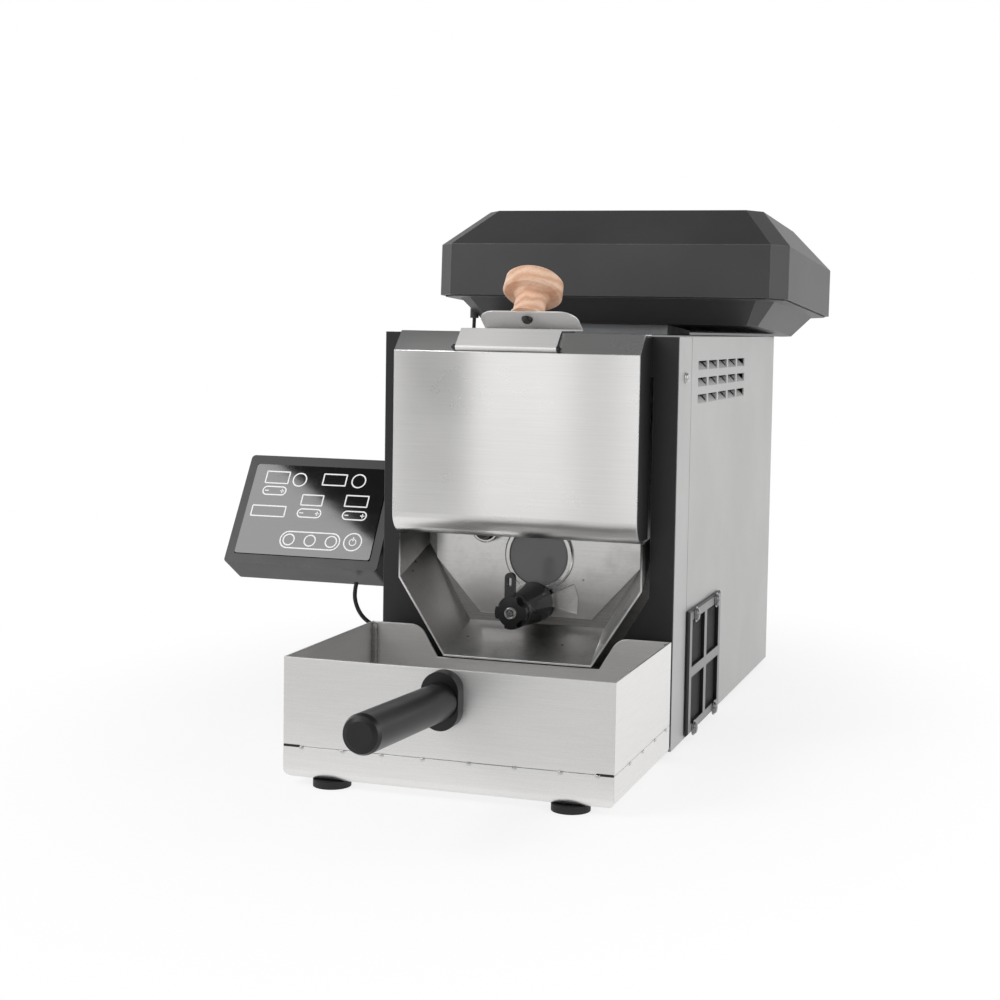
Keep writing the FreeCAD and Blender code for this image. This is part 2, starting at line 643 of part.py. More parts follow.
def make_chute():
    """Stainless trough that carries the beans from the drum's front plate to the tray."""
    item = body("discharge_chute")
    loft(item, "trough", "XZ",
         [("-(chute_front)", trough("chute_lip_w", "chute_lip_side", "chute_lip_floor", "chute_lip_low",
                                    "chute_top", "case_t")),
          ("bulkhead_y", trough("chute_back_w", "chute_back_side", "chute_back_floor", "chute_back_low",
                                "chute_top", "case_t"))])


def make_front_bulkhead():
    """Plate behind the chute that carries the drum's front plate and closes the hot chamber."""
    item = body("front_bulkhead")
    block(item, "plate", "XZ", "bulkhead_y", "plate_t",
          box_points("-(%s - case_t - seam)" % HALF, "%s - case_t - seam" % HALF, "body_low + plate_t + seam",
                     "body_top - case_t - seam"))
    disc(item, "drum_hole", "XZ", "bulkhead_y - 1", "plate_t + 2", "0", "drum_z", "drum_r + 2", cut=True)
    block(item, "gate_hole", "XZ", "bulkhead_y - 1", "plate_t + 2",
          box_points("gate_x - outlet_out - 3", "gate_x + outlet_out + 3", "front_low + 1.5",
                     "gate_z + outlet_out + 4"), cut=True)
    block(item, "air_gap", "XZ", "bulkhead_y - 1", "plate_t + 2",
          box_points("-(duct_w / 2)", "duct_w / 2", "pan_low + 3", "pan_top"), cut=True)


def octagon(half_w, low, top, corner):
    """Upright rectangle with chamfered corners."""
    return cut_corners(half_w, low, top, corner)


def make_drum_front():
    """Polished plate in front of the drum, with windows for glass, sampler, beans in and beans out."""
    item = body("drum_front_plate")
    block(item, "plate", "XZ", PLATE_Y, "plate_t",
          [("-(front_flat / 2)", "front_low"), ("front_flat / 2", "front_low"), ("front_w / 2", "front_side"),
           ("front_w / 2", "front_top"), ("-(front_w / 2)", "front_top"), ("-(front_w / 2)", "front_side")])
    for name, x, z, radius in (("glass_hole", "glass_x", "glass_z", "glass_r - 2.5"),
                               ("port_hole", "port_x", "port_z", "port_r - 3"),
                               ("spindle_hole", "gate_x", "gate_z", "spindle_d / 2 + run_gap")):
        disc(item, name, "XZ", "%s - 1" % PLATE_Y, "plate_t + 2", x, z, radius, cut=True)
    block(item, "outlet", "XZ", "%s - 1" % PLATE_Y, "plate_t + 2", outlet_points("0"), cut=True)
    block(item, "inlet", "XZ", "%s - 1" % PLATE_Y, "plate_t + 2",
          box_points("notch_x - hopper_w / 2 + 4", "notch_x + hopper_w / 2 - 4", "spout_low + 2",
                     "spout_top - 2"), cut=True)


def ray(radius, angle):
    """Point at a radius and angle about the gate's axis."""
    return ("gate_x + (%s) * cos(%s)" % (radius, angle), "gate_z + (%s) * sin(%s)" % (radius, angle))


def outlet_points(margin):
    """Sector-shaped outlet beside the gate's axis, grown by a margin."""
    inner = "outlet_in - (%s)" % margin
    outer = "outlet_out + (%s)" % margin
    return [ray(inner, "-12deg"), ray(outer, "-12deg"), ray(outer, "8deg"), ray(outer, "26deg"),
            ray(inner, "26deg")]


def make_sight_glass():
    """Steel ring and the glass disc that it holds against the plate."""
    ring = body("sight_glass_ring", x="glass_x", z="glass_z")
    turned(ring, "ring", "Y",
           [("%s - 2.5" % PLATE_Y, "glass_r + seam / 2"), ("%s - 2.5" % PLATE_Y, "ring_r - 1"),
            ("%s - 1.5" % PLATE_Y, "ring_r"), (PLATE_Y, "ring_r"), (PLATE_Y, "glass_r + seam / 2")])
    glass = body("sight_glass", x="glass_x", z="glass_z")
    turned(glass, "disc", "Y", [("%s - 1.8" % PLATE_Y, "0"), ("%s - 1.8" % PLATE_Y, "glass_r - 0.5"),
                                ("%s - 1.3" % PLATE_Y, "glass_r"), (PLATE_Y, "glass_r"), (PLATE_Y, "0")])


def make_sampler_port():
    """Turned bush with a deep conical mouth for the sampling scoop."""
    item = body("sampler_port", x="port_x", z="port_z")
    turned(item, "bush", "Y",
           [("%s - 8" % PLATE_Y, "port_r - 2"), ("%s - 8" % PLATE_Y, "port_r - 0.8"),
            ("%s - 7.2" % PLATE_Y, "port_r"), (PLATE_Y, "port_r"), (PLATE_Y, "port_r - 3.1"),
            ("%s + plate_t" % PLATE_Y, "port_r - 3.1"), ("%s + plate_t" % PLATE_Y, "0"),
            ("%s" % PLATE_Y, "0"), ("%s - 2" % PLATE_Y, "port_r - 4")])


# ---------------------------------------------------------------- discharge gate
def make_outlet_sleeve():
    """Black bearing sleeve of the discharge gate."""
    item = body("outlet_sleeve", x="gate_x", z="gate_z")
    bore = "spindle_d / 2 + run_gap"
    turned(item, "sleeve", "Y",
           [("-(sleeve_front)", bore), ("-(sleeve_front)", "sleeve_r - 1"), ("-(sleeve_front - 1)", "sleeve_r"),
            ("%s - 3.4" % PLATE_Y, "sleeve_back_r"), ("%s - 3.4" % PLATE_Y, "sleeve_r - 4"), (PLATE_Y, "sleeve_r - 4"),
            (PLATE_Y, bore)])


def make_spindle():
    """Turned spindle with the welded sector that closes the outlet from inside."""
    item = body("discharge_spindle", x="gate_x", z="gate_z")
    turned(item, "shaft", "Y",
           [("-(sleeve_front + seam + lever_t + knob_t + 0.4)", "0"),
            ("-(sleeve_front + seam + lever_t + knob_t + 0.4)", "spindle_d / 2 - 0.4"),
            ("-(sleeve_front + seam + lever_t + knob_t)", "spindle_d / 2"),
            ("%s + plate_t + seam + 2" % PLATE_Y, "spindle_d / 2"), ("%s + plate_t + seam + 2" % PLATE_Y, "0")])
    shift = [(x.replace("gate_x + ", ""), z.replace("gate_z + ", "")) for x, z in outlet_points("2")]
    hub = [("0", "-(spindle_d / 2)"), shift[0], shift[1], shift[2], shift[3], shift[4], ("0", "spindle_d / 2")]
    block(item, "sector", "XZ", "%s + plate_t + seam" % PLATE_Y, "2", hub[:1] + shift[1:4] + hub[-1:])


def make_lever():
    """Flat lever on the spindle: round hub, upright tab with a rounded end and a slot."""
    item = body("discharge_lever", x="gate_x", z="gate_z")
    front = "-(sleeve_front + seam + lever_t)"
    disc(item, "hub", "XZ", front, "lever_t", "0", "0", "sleeve_r")
    block(item, "tab", "XZ", front, "lever_t",
          box_points("-(lever_off + lever_w / 2)", "lever_w / 2 - lever_off", "0", "lever_up - lever_w / 2"))
    disc(item, "end", "XZ", front, "lever_t", "-(lever_off)", "lever_up - lever_w / 2", "lever_w / 2")
    disc(item, "bore", "XZ", "%s - 1" % front, "lever_t + 2", "0", "0", "spindle_d / 2", cut=True)
    block(item, "slot", "XZ", "%s - 1" % front, "lever_t + 2",
          box_points("-(lever_off + lever_w / 5)", "lever_w / 5 - lever_off", "lever_up - 9",
                     "lever_up - lever_w / 2"), cut=True)


def make_lobed_knob():
    """Cross knob: disc with four deep grip hollows in its rim, and its cap."""
    item = body("lobed_knob", x="gate_x", z="gate_z")
    front = "-(sleeve_front + seam + lever_t + knob_t)"
    disc(item, "disc", "XZ", front, "knob_t", "0", "0", "knob_r", bore="spindle_d / 2")
    aside = "(knob_r + 2.6) * cos(45deg)"
    hollow_cut = disc(item, "hollow", "XZ", "%s - 1" % front, "knob_t + 2", aside, aside, "5.6", cut=True)
    polar(item, "lobes", [hollow_cut], "Y", 4)
    cap = body("knob_screw", x="gate_x", z="gate_z")
    turned(cap, "cap", "Y",
           [("%s - 2.6" % front, "0"), ("%s - 2.6" % front, "3"), ("%s - 1.6" % front, "3.8"),
            ("%s - 1.2" % front, "3.8"), ("%s - 1.2" % front, "4.8"), (front, "4.8"), (front, "4.2"),
            ("%s - 0.4" % front, "3.6"), ("%s - 0.4" % front, "0")])


# ---------------------------------------------------------------- bean lid and hopper
def make_hopper():
    """Sheet funnel from the lid's mouth down to the window above the drum's middle."""
    item = body("bean_hopper", x="notch_x")
    under = "(%s - %s + (curl_r - lid_t) * sqrt(2) - seam * 2)" % (LIP_Z, LIP_Y)
    rim = "(lid_z - lid_t - seam)"
    side = [("-(hopper_front)", "%s - hopper_front" % under), ("%s - %s" % (rim, under), rim),
            ("hopper_back", rim),
            ("hopper_back", "spout_top + 22"), ("%s - seam" % PLATE_Y, "spout_top"),
            ("%s - seam" % PLATE_Y, "spout_low"), ("-(hopper_front)", "spout_low + 68")]
    wall = "lid_t"
    deep = [("-(hopper_front - %s)" % wall, "lid_z + 1"), ("hopper_back - %s" % wall, "lid_z + 1"),
            ("hopper_back - %s" % wall, "spout_top + 22 - %s / 2" % wall),
            ("%s - seam - %s / 2" % (PLATE_Y, wall), "spout_top - %s" % wall),
            ("bulkhead_y", "spout_top - %s" % wall), ("bulkhead_y", "spout_low + %s * 1.6" % wall),
            ("%s - seam" % PLATE_Y, "spout_low + %s * 1.6" % wall),
            ("-(hopper_front - %s)" % wall, "spout_low + 68 + %s * 0.6" % wall)]
    block(item, "funnel", "YZ", "-(hopper_w / 2)", "hopper_w", side)
    block(item, "inside", "YZ", "-(hopper_w / 2 - %s)" % wall, "hopper_w - %s * 2" % wall, deep, cut=True)


def tab_point(along, up):
    """Point in the lid's tab: along the tab from its foot, and up from its under face."""
    lean = "tab_lean * 1deg"
    return ("lid_back - (%s) * sin(%s) + (%s) * cos(%s)" % (along, lean, up, lean),
            "lid_z - lid_t + (%s) * cos(%s) + (%s) * sin(%s)" % (along, lean, up, lean))


def make_bean_lid():
    """Bent stainless lid: sloped front with a curled lip, flat top and a tab folded up and forward."""
    item = body("bean_lid", x="notch_x")
    diagonal = "cos(45deg)"
    flat = "(lid_z - %s + %s - curl_r * sqrt(2))" % (LIP_Z, LIP_Y)
    side = [("%s - curl_r * %s" % (LIP_Y, diagonal), "%s + curl_r * %s" % (LIP_Z, diagonal)),
            (flat, "lid_z"), ("lid_back - lid_t * 1.5", "lid_z"), tab_point("lid_t * 2", "0"),
            tab_point("tab_reach", "0"), tab_point("tab_reach", "lid_t"), tab_point("lid_t", "lid_t"),
            ("lid_back + lid_t", "lid_z - lid_t"), ("%s + lid_t * %s" % (flat, BEVEL_IN), "lid_z - lid_t"),
            ("%s - (curl_r - lid_t) * %s" % (LIP_Y, diagonal), "%s + (curl_r - lid_t) * %s" % (LIP_Z, diagonal))]
    block(item, "sheet", "YZ", "-(lid_w / 2)", "lid_w", side)
    disc(item, "lip", "YZ", "-(lid_w / 2)", "lid_w", LIP_Y, LIP_Z, "curl_r")
    disc(item, "eye", "YZ", "-(lid_w / 2 + 1)", "lid_w + 2", LIP_Y, LIP_Z, "pin_d / 2 + run_gap", cut=True)
    top = number("lid_z + tab_reach * cos(tab_lean * 1deg)")

    def tab_corner(edge):
        spot = edge.CenterOfMass
        return abs(spot.x) > number("lid_w") / 2 - 0.1 and edge.Length < 1.6 and spot.z > top - 4
    dress(item, "corners", item.Tip, "Fillet", "tab_round", tab_corner)


def make_lid_pin():
    """Hinge pin of the lid, headed into two small ears welded to the cover's bevel."""
    pin = body("lid_hinge_pin", x="notch_x")
    disc(pin, "pin", "YZ", "-(lid_w / 2 + 3)", "lid_w + 6", LIP_Y, LIP_Z, "pin_d / 2")
    for side in ("lid_w / 2 + seam", "-(lid_w / 2 + seam + 1.5)"):
        disc(pin, "ear", "YZ", side, "1.5", LIP_Y, LIP_Z, "curl_r + 0.1")


KNOB = dict(x="notch_x - 1", y=tab_point("knob_at", "lid_t")[0], z=tab_point("knob_at", "lid_t")[1],
            axis=(-1, 0, 0), angle="90 - tab_lean")


def make_wood_knob():
    """Turned beech knob: neck with a foot ring and a thick disc head, screwed on through the tab."""
    item = body("wood_knob", x=KNOB["x"], y=KNOB["y"], z=KNOB["z"], axis=KNOB["axis"], angle=KNOB["angle"])
    turned(item, "knob", "Z",
                  [("0", "0"), ("0", "neck_d / 2 + 0.8"), ("1.2", "neck_d / 2 + 0.8"), ("2.4", "neck_d / 2 - 0.6"),
                   ("neck_len - 2", "neck_d / 2 - 0.9"), ("neck_len", "neck_d / 2 + 1.4"),
                   ("neck_len + 0.4", "ball_d / 2 - 1.6"), ("neck_len + 2", "ball_d / 2"),
                   ("neck_len + ball_t - 1.8", "ball_d / 2 - 0.6"), ("neck_len + ball_t", "ball_d / 2 - 2.4"),
                   ("neck_len + ball_t", "0")])


def make_lid_screw():
    """Pan-head screw under the tab that holds the knob."""
    where = tab_point("knob_at", "0")
    item = body("lid_screw", x=KNOB["x"], y=where[0], z=where[1], axis=(-1, 0, 0), angle="90 - tab_lean + 180")
    turned(item, "screw", "Z",
           [("head_t", "0"), ("head_t", "head_d / 2 - 1.4"), ("head_t * 0.55", "head_d / 2 - 0.4"),
            ("head_t * 0.2", "head_d / 2"), ("0", "head_d / 2"), ("0", "0")])


# ---------------------------------------------------------------- drum, drive and heat
size("spider_t", 2, "rear wheel of the drum")
size("vane_tall", 14, "height of the drum's lifting vanes")
size("bearing_d", 36, "flange bearing")
size("bearing_t", 12, "depth of the flange bearing")
size("gear_w", 62, "gearbox of the drum motor")
size("gear_t", 26, "depth of the gearbox")
size("motor_d", 38, "drum motor")
size("motor_len", 40, "length of the drum motor")
size("rod_d", 9, "heater rods")
size("rod_x", 56, "heater rods left and right of the middle")
size("rod_z", 104, "height of the heater rods")
doc.recompute()

REAR_BACK = "(rear_y + plate_t)"
DRUM_BACK = "(%s + drum_len)" % DRUM_Y


def make_drum():
    """Rolled drum with an open front, lifting vanes and a spoked rear wheel."""
    item = body("drum", y=DRUM_Y, z="drum_z")
    turned(item, "shell", "Y",
           [("0", "drum_r"), ("0", "drum_r + drum_t + 1"), ("2", "drum_r + drum_t + 1"), ("2", "drum_r + drum_t"),
            ("drum_len", "drum_r + drum_t"), ("drum_len", "shaft_d / 2"), ("drum_len - 14", "shaft_d / 2"),
            ("drum_len - 14", "shaft_d / 2 + 5"), ("drum_len - spider_t", "shaft_d / 2 + 5"),
            ("drum_len - spider_t", "drum_r")])
    window = block(item, "window", "XZ", "drum_len - spider_t - 1", "spider_t + 2",
                   [("22", "-8"), ("drum_r - 8", "-24"), ("drum_r - 8", "24"), ("22", "8")], cut=True)
    polar(item, "windows", [window], "Y", 6)
    vane = block(item, "vane", "XZ", "8", "drum_len - 8 - spider_t",
                 [("drum_r + 0.4", "-1"), ("drum_r + 0.4", "1"), ("drum_r - vane_tall", "4"),
                  ("drum_r - vane_tall", "2")])
    polar(item, "vanes", [vane], "Y", 4)


def make_shaft():
    """Drum shaft from the wheel's hub through the bearing to the gearbox."""
    item = body("drum_shaft", y=DRUM_BACK, z="drum_z")
    turned(item, "shaft", "Y",
           [("-14", "0"), ("-14", "shaft_d / 2"), ("rear_y + plate_t + bearing_t + 12 - %s" % DRUM_BACK, "shaft_d / 2"),
            ("rear_y + plate_t + bearing_t + 12 - %s" % DRUM_BACK, "0")])


def make_bearing():
    """Flanged plain bearing on the rear bulkhead."""
    item = body("drum_bearing", y=REAR_BACK, z="drum_z")
    bore = "shaft_d / 2 + run_gap"
    turned(item, "flange", "Y",
           [("0", bore), ("0", "bearing_d / 2"), ("4", "bearing_d / 2"), ("4", "bearing_d / 2 - 8"),
            ("bearing_t", "bearing_d / 2 - 8"), ("bearing_t", bore)])


def make_rear_bulkhead():
    """Plate between the hot chamber and the motor room."""
    item = body("rear_bulkhead")
    block(item, "plate", "XZ", "rear_y", "plate_t",
          box_points("-(%s - case_t - seam)" % HALF, "%s - case_t - seam" % HALF, "body_low + plate_t + seam",
                     "shield_top - 2"))
    disc(item, "shaft_hole", "XZ", "rear_y - 1", "plate_t + 2", "0", "drum_z", "shaft_d / 2 + 2", cut=True)


def make_gearmotor():
    """Square gearbox with a round motor behind it, on a bracket from the rear bulkhead."""
    item = body("gearmotor", z="drum_z")
    front = "(rear_y + plate_t + bearing_t + 6)"
    block(item, "gearbox", "XZ", front, "gear_t",
          box_points("-(gear_w / 2)", "gear_w / 2", "-(gear_w / 2 + 8)", "gear_w / 2 - 8"))
    disc(item, "bore", "XZ", "%s - 1" % front, "8", "0", "0", "shaft_d / 2 + run_gap", cut=True)
    disc(item, "motor", "XZ", "%s + gear_t - 1" % front, "motor_len + 1", "0", "-14", "motor_d / 2")
    post = disc(item, "post", "XZ", REAR_BACK, "bearing_t + 8", "gear_w / 2 - 5", "gear_w / 2 - 13", "3.5")
    grid(item, "posts", [post], "-X", "gear_w - 10", 2, "-Z", "gear_w - 10", 2)


def make_heaters():
    """Two quartz heater rods under the drum, each in a clip at both ends."""
    item = body("heater_rods")
    start = "(bulkhead_y + plate_t + 8)"
    long_run = "(rear_y - bulkhead_y - plate_t - 16)"
    for side in ("rod_x", "-(rod_x)"):
        disc(item, "rod", "XZ", start, long_run, side, "rod_z", "rod_d / 2")
    clips = body("heater_clips")
    for side in ("rod_x", "-(rod_x)"):
        for at in ("bulkhead_y + plate_t", "rear_y - 12"):
            block(clips, "clip", "XZ", at, "12",
                  box_points("%s - rod_d" % side, "%s + rod_d" % side, "rod_z - rod_d * 1.2", "rod_z + rod_d * 0.9"))
            hole = at if "rear" in at else "bulkhead_y + plate_t + 8"
            disc(clips, "seat", "XZ", hole, "4" if "rear" not in at else "4", side, "rod_z",
                 "rod_d / 2 + 0.02", cut=True)


def make_heat_shield():
    """Eight-sided shield round the drum, open upwards for the exhaust."""
    item = body("heat_shield")
    start = "(bulkhead_y + plate_t)"
    run = "(rear_y - bulkhead_y - plate_t)"
    block(item, "form", "XZ", start, run, octagon("shield_w / 2", "shield_low", "shield_top", "shield_cut"))
    block(item, "inside", "XZ", "%s - 1" % start, "%s + 2" % run,
          octagon("shield_w / 2 - case_t", "shield_low + case_t", "shield_top - case_t",
                  "shield_cut - case_t * 0.6"), cut=True)
    block(item, "exhaust", "XY", "shield_top - case_t - 1", "case_t + 2",
          box_points("-(stack_w / 2)", "stack_w / 2", "rear_y - 62", "rear_y - 4"), cut=True)


STACK_Y = "(hood_y + stack_v * %s - 1.4)" % HOOD_COS


def rectangle(wide, y0, y1, wall="0"):
    """Level rectangle centred on X, grown by a wall."""
    return box_points("-(%s / 2 + %s)" % (wide, wall), "%s / 2 + %s" % (wide, wall), "%s - %s" % (y0, wall),
                      "%s + %s" % (y1, wall))


def make_exhaust_duct():
    """Sheared square duct from the shield up to the opening in the body's top."""
    item = body("exhaust_duct")
    low = ("rear_y - 62 + case_t", "rear_y - 4 - case_t")
    top = ("%s - stack_w / 2 + 2" % STACK_Y, "%s + stack_w / 2 - 2" % STACK_Y)
    wide = "(stack_w - 2 * case_t)"
    foot, head = "shield_top", "body_top - case_t"
    loft(item, "outside", "XY", [(foot, rectangle(wide, low[0], low[1], "case_t")),
                                 (head, rectangle(wide, top[0], top[1], "case_t"))])
    loft(item, "inside", "XY", [("%s - 0.01" % foot, rectangle(wide, low[0], low[1])),
                                ("%s + 0.01" % head, rectangle(wide, top[0], top[1]))], cut=True)


# ---------------------------------------------------------------- fans
def make_fan(label, rotor_label, **where):
    """Axial fan: square frame with a round opening, three struts and a hub plate; rotor with seven blades."""
    item = body(label, **where)
    plate = block(item, "frame", "XY", "0", "fan_t", box_points("-(fan_w / 2)", "fan_w / 2", "-(fan_w / 2)", "fan_w / 2"))
    dress(item, "corners", plate, "Fillet", "4", lambda edge: edge_runs(edge, 2))
    disc(item, "tunnel", "XY", "-1", "fan_t + 2", "0", "0", "fan_bore / 2", cut=True)
    disc(item, "seat", "XY", "0", "2", "0", "0", "hub_d / 2")
    strut = block(item, "strut", "XY", "0", "2", box_points("hub_d / 2 - 1", "fan_bore / 2 + 0.5", "-1.5", "1.5"))
    polar(item, "struts", [strut], "Z", 3)
    disc(item, "pin", "XY", "2", "fan_t - 8", "0", "0", "2")
    rotor = body(rotor_label, **where)
    disc(rotor, "hub", "XY", "3", "fan_t - 5", "0", "0", "hub_d / 2", bore="2 + run_gap")
    blade = block(rotor, "blade", "YZ", "hub_d / 2 - 1.5", "fan_bore / 2 - blade_gap - 2.5 - hub_d / 2 + 1.5",
                  [("-8", "5"), ("-6.5", "4.6"), ("8", "fan_t - 5"), ("6.5", "fan_t - 4.6")])
    polar(rotor, "blades", [blade], "Z", 7)


def make_guard():
    """Two-window guard on the right side, with mesh behind it and four screws."""
    item = body("fan_guard", x=HALF)
    plate = block(item, "plate", "YZ", "mesh_t", "guard_t - mesh_t",
                  box_points("guard_front", "guard_back", "guard_low", "guard_top"))
    dress(item, "edge", plate, "Chamfer", "1.2", lambda edge: edge.CenterOfMass.x > number("guard_t") - 0.1)
    middle = "(guard_front + guard_back) / 2"
    inner_low, inner_top = "guard_low + guard_rail", "guard_top - guard_rail"
    centre = "(guard_low + guard_top) / 2"
    for y0, y1 in (("guard_front + guard_bar", "%s - guard_bar / 2" % middle),
                   ("%s + guard_bar / 2" % middle, "guard_back - guard_bar")):
        for z0, z1 in ((inner_low, "%s - guard_rail / 2" % centre), ("%s + guard_rail / 2" % centre, inner_top)):
            block(item, "window", "YZ", "-1", "guard_t + 2", box_points(y0, y1, z0, z1), cut=True)
    mesh = body("guard_mesh", x=HALF)
    block(mesh, "mesh", "YZ", "0", "mesh_t",
          box_points("guard_front + 2", "guard_back - 2", "guard_low + 2", "guard_top - 2"))


def make_case_screws():
    """Four guard screws on the right, one frame screw on each side."""
    item = body("case_screws")
    at = "(%s + guard_t)" % HALF
    for y in ("fan_y + 0.5 - guard_screw_y / 2", "fan_y + 0.5 + guard_screw_y / 2"):
        for z in ("fan_z - guard_screw_z / 2", "fan_z + guard_screw_z / 2"):
            disc(item, "guard_screw", "YZ", at, "wide_t", y, z, "wide_d / 2")
    disc(item, "right", "YZ", HALF, "head_t", "side_screw_y", "side_screw_z", "head_d / 2")
    disc(item, "left", "YZ", "-(%s + head_t)" % HALF, "head_t", "side_screw_y", "side_screw_z", "head_d / 2")


# ---------------------------------------------------------------- pan, tray, handle
def make_base_pan():
    """Sheet pan under the tray with an air duct back to the body."""
    item = body("base_pan")
    outer = block(item, "form", "XY", "pan_low", "pan_top - pan_low",
                  box_points("-(pan_w / 2)", "pan_w / 2", "-(pan_front)", "-(pan_back)"))
    dress(item, "round", outer, "Fillet", "pan_round",
          lambda edge: edge.CenterOfMass.z < number("pan_low") + 0.1)
    block(item, "inside", "XY", "pan_low + tray_t", "pan_top - pan_low",
          box_points("-(pan_w / 2 - tray_t - 2.5)", "pan_w / 2 - tray_t - 2.5", "-(pan_front - tray_t - 2.5)",
                     "-(pan_back + tray_t)"), cut=True)
    block(item, "duct", "XZ", "-(pan_back + 0.5)", "pan_back + 0.5",
          box_points("-(duct_w / 2)", "duct_w / 2", "pan_low + 1.5", "pan_top - 1.5"))
    block(item, "air", "XZ", "-(pan_back + tray_t + 1)", "pan_back + tray_t + 3",
          box_points("-(duct_w / 2 - tray_t)", "duct_w / 2 - tray_t", "pan_low + 3", "pan_top - 3"), cut=True)


def make_tray():
    """Open cooling tray: thin walls, ledge for the screen, rear wall cut out round the chute."""
    item = body("cooling_tray")
    block(item, "form", "XY", "pan_top + seam", "tray_top - pan_top - seam",
          box_points("-(pan_w / 2)", "pan_w / 2", "-(pan_front)", "-(pan_back)"))
    block(item, "inside", "XY", "pan_top + seam + tray_t", "tray_top - pan_top",
          box_points("-(pan_w / 2 - tray_t)", "pan_w / 2 - tray_t", "-(pan_front - tray_t)",
                     "-(pan_back + tray_t)"), cut=True)
    block(item, "opening", "XY", "pan_top - 1", "tray_t + 3",
          box_points("-(pan_w / 2 - ledge)", "pan_w / 2 - ledge", "-(pan_front - ledge)",
                     "-(pan_back + ledge)"), cut=True)
    edge = "(chute_lip_floor / 2 + notch_side)"
    foot = "(chute_lip_floor / 2 + 5)"
    notch = block(item, "notch", "XZ", "-(pan_back + tray_t + 1)", "tray_t + 2",
                  [("-(%s + 0.6)" % edge, "tray_top + 1"), ("-%s" % foot, "chute_lip_low - 1.2"),
                   (foot, "chute_lip_low - 1.2"), ("%s + 0.6" % edge, "tray_top + 1")], cut=True)
    rim, half = number("tray_top"), number(edge)
    dress(item, "notch_round", notch, "Fillet", "notch_round",
          lambda line: edge_runs(line, 1) and line.CenterOfMass.z > rim - 0.5
          and abs(abs(line.CenterOfMass.x) - half) < 1)


def make_screen():
    """Perforated tray floor on the ledge."""
    item = body("tray_screen")
    block(item, "sheet", "XY", "pan_top + seam + tray_t", "screen_t",
          box_points("-(pan_w / 2 - tray_t - seam)", "pan_w / 2 - tray_t - seam", "-(pan_front - tray_t - seam)",
                     "-(pan_back + tray_t + seam)"))
    first = block(item, "slot", "XY", "pan_top", "tray_t + 3",
                  box_points("-(pan_w / 2 - ledge - 6)", "-(pan_w / 2 - ledge - 8)", "-(pan_front - ledge - 6)",
                             "-(pan_back + ledge + 6)"), cut=True)
    grid(item, "slots", [first], "X", "(pan_w - 2 * ledge - 14) / 24", 25)


def make_handle():
    """Moulded base on the tray's front and the round grip that stands out of it."""
    base = body("tray_handle_base", z="handle_z")
    front = "(-(pan_front + handle_t))"
    radius = "handle_w / 2"
    rise = "(handle_tall - handle_w) / 2"
    disc(base, "upper", "XZ", front, "handle_t", "0", rise, radius)
    disc(base, "lower", "XZ", front, "handle_t", "0", "-(%s)" % rise, radius)
    block(base, "middle", "XZ", front, "handle_t", box_points("-(%s)" % radius, radius, "-(%s)" % rise, rise))
    grip = body("tray_handle_grip", y=front, z="handle_z", axis=(-1, 0, 0), angle="grip_tilt")
    turned(grip, "grip", "Y",
           [("-(grip_len)", "0"), ("-(grip_len)", "grip_d / 2 - grip_round"),
            ("-(grip_len - grip_round * 0.3)", "grip_d / 2 - grip_round * 0.3"),
            ("-(grip_len - grip_round)", "grip_d / 2"), ("-1", "grip_d / 2"), ("-1", "0")])
    disc(grip, "root", "XZ", "-1.5", "1.2", "0", "0", "grip_d / 4")


# ---------------------------------------------------------------- hood
HOOD = dict(y="hood_y", z="hood_z", axis=(-1, 0, 0), angle="hood_tilt")
TOP_LINE = "(-(hood_z - body_top) / %s + (%%s) * tan(hood_tilt * 1deg))" % HOOD_COS
FLOOR = "(-(keel_down))"
HINGE_V = "(hood_len - hinge_r - 2)"
HINGE_W = "(-(hinge_r + seam))"


def ring_at(half_w, inset, corner):
    """Chamfered rectangle of the hood at an inset from front and rear."""
    return cut_corners(half_w, inset, "hood_len - (%s)" % inset, corner)


def make_hood_seat():
    """Wedge-shaped collar between the body's level top and the tilted hood."""
    item = body("hood_seat", **HOOD)
    front, rear = "(stack_v - stack_w / 2 - 5)", "(stack_v + stack_w / 2 + 5)"
    block(item, "wedge", "YZ", "-(stack_w / 2 + 5)", "stack_w + 10",
          [(front, FLOOR), (front, TOP_LINE % front), (rear, TOP_LINE % rear), (rear, FLOOR)])
    block(item, "hole", "XY", "-(keel_down + 20)", "22",
          box_points("-(stack_w / 2)", "stack_w / 2", "stack_v - stack_w / 2", "stack_v + stack_w / 2"), cut=True)


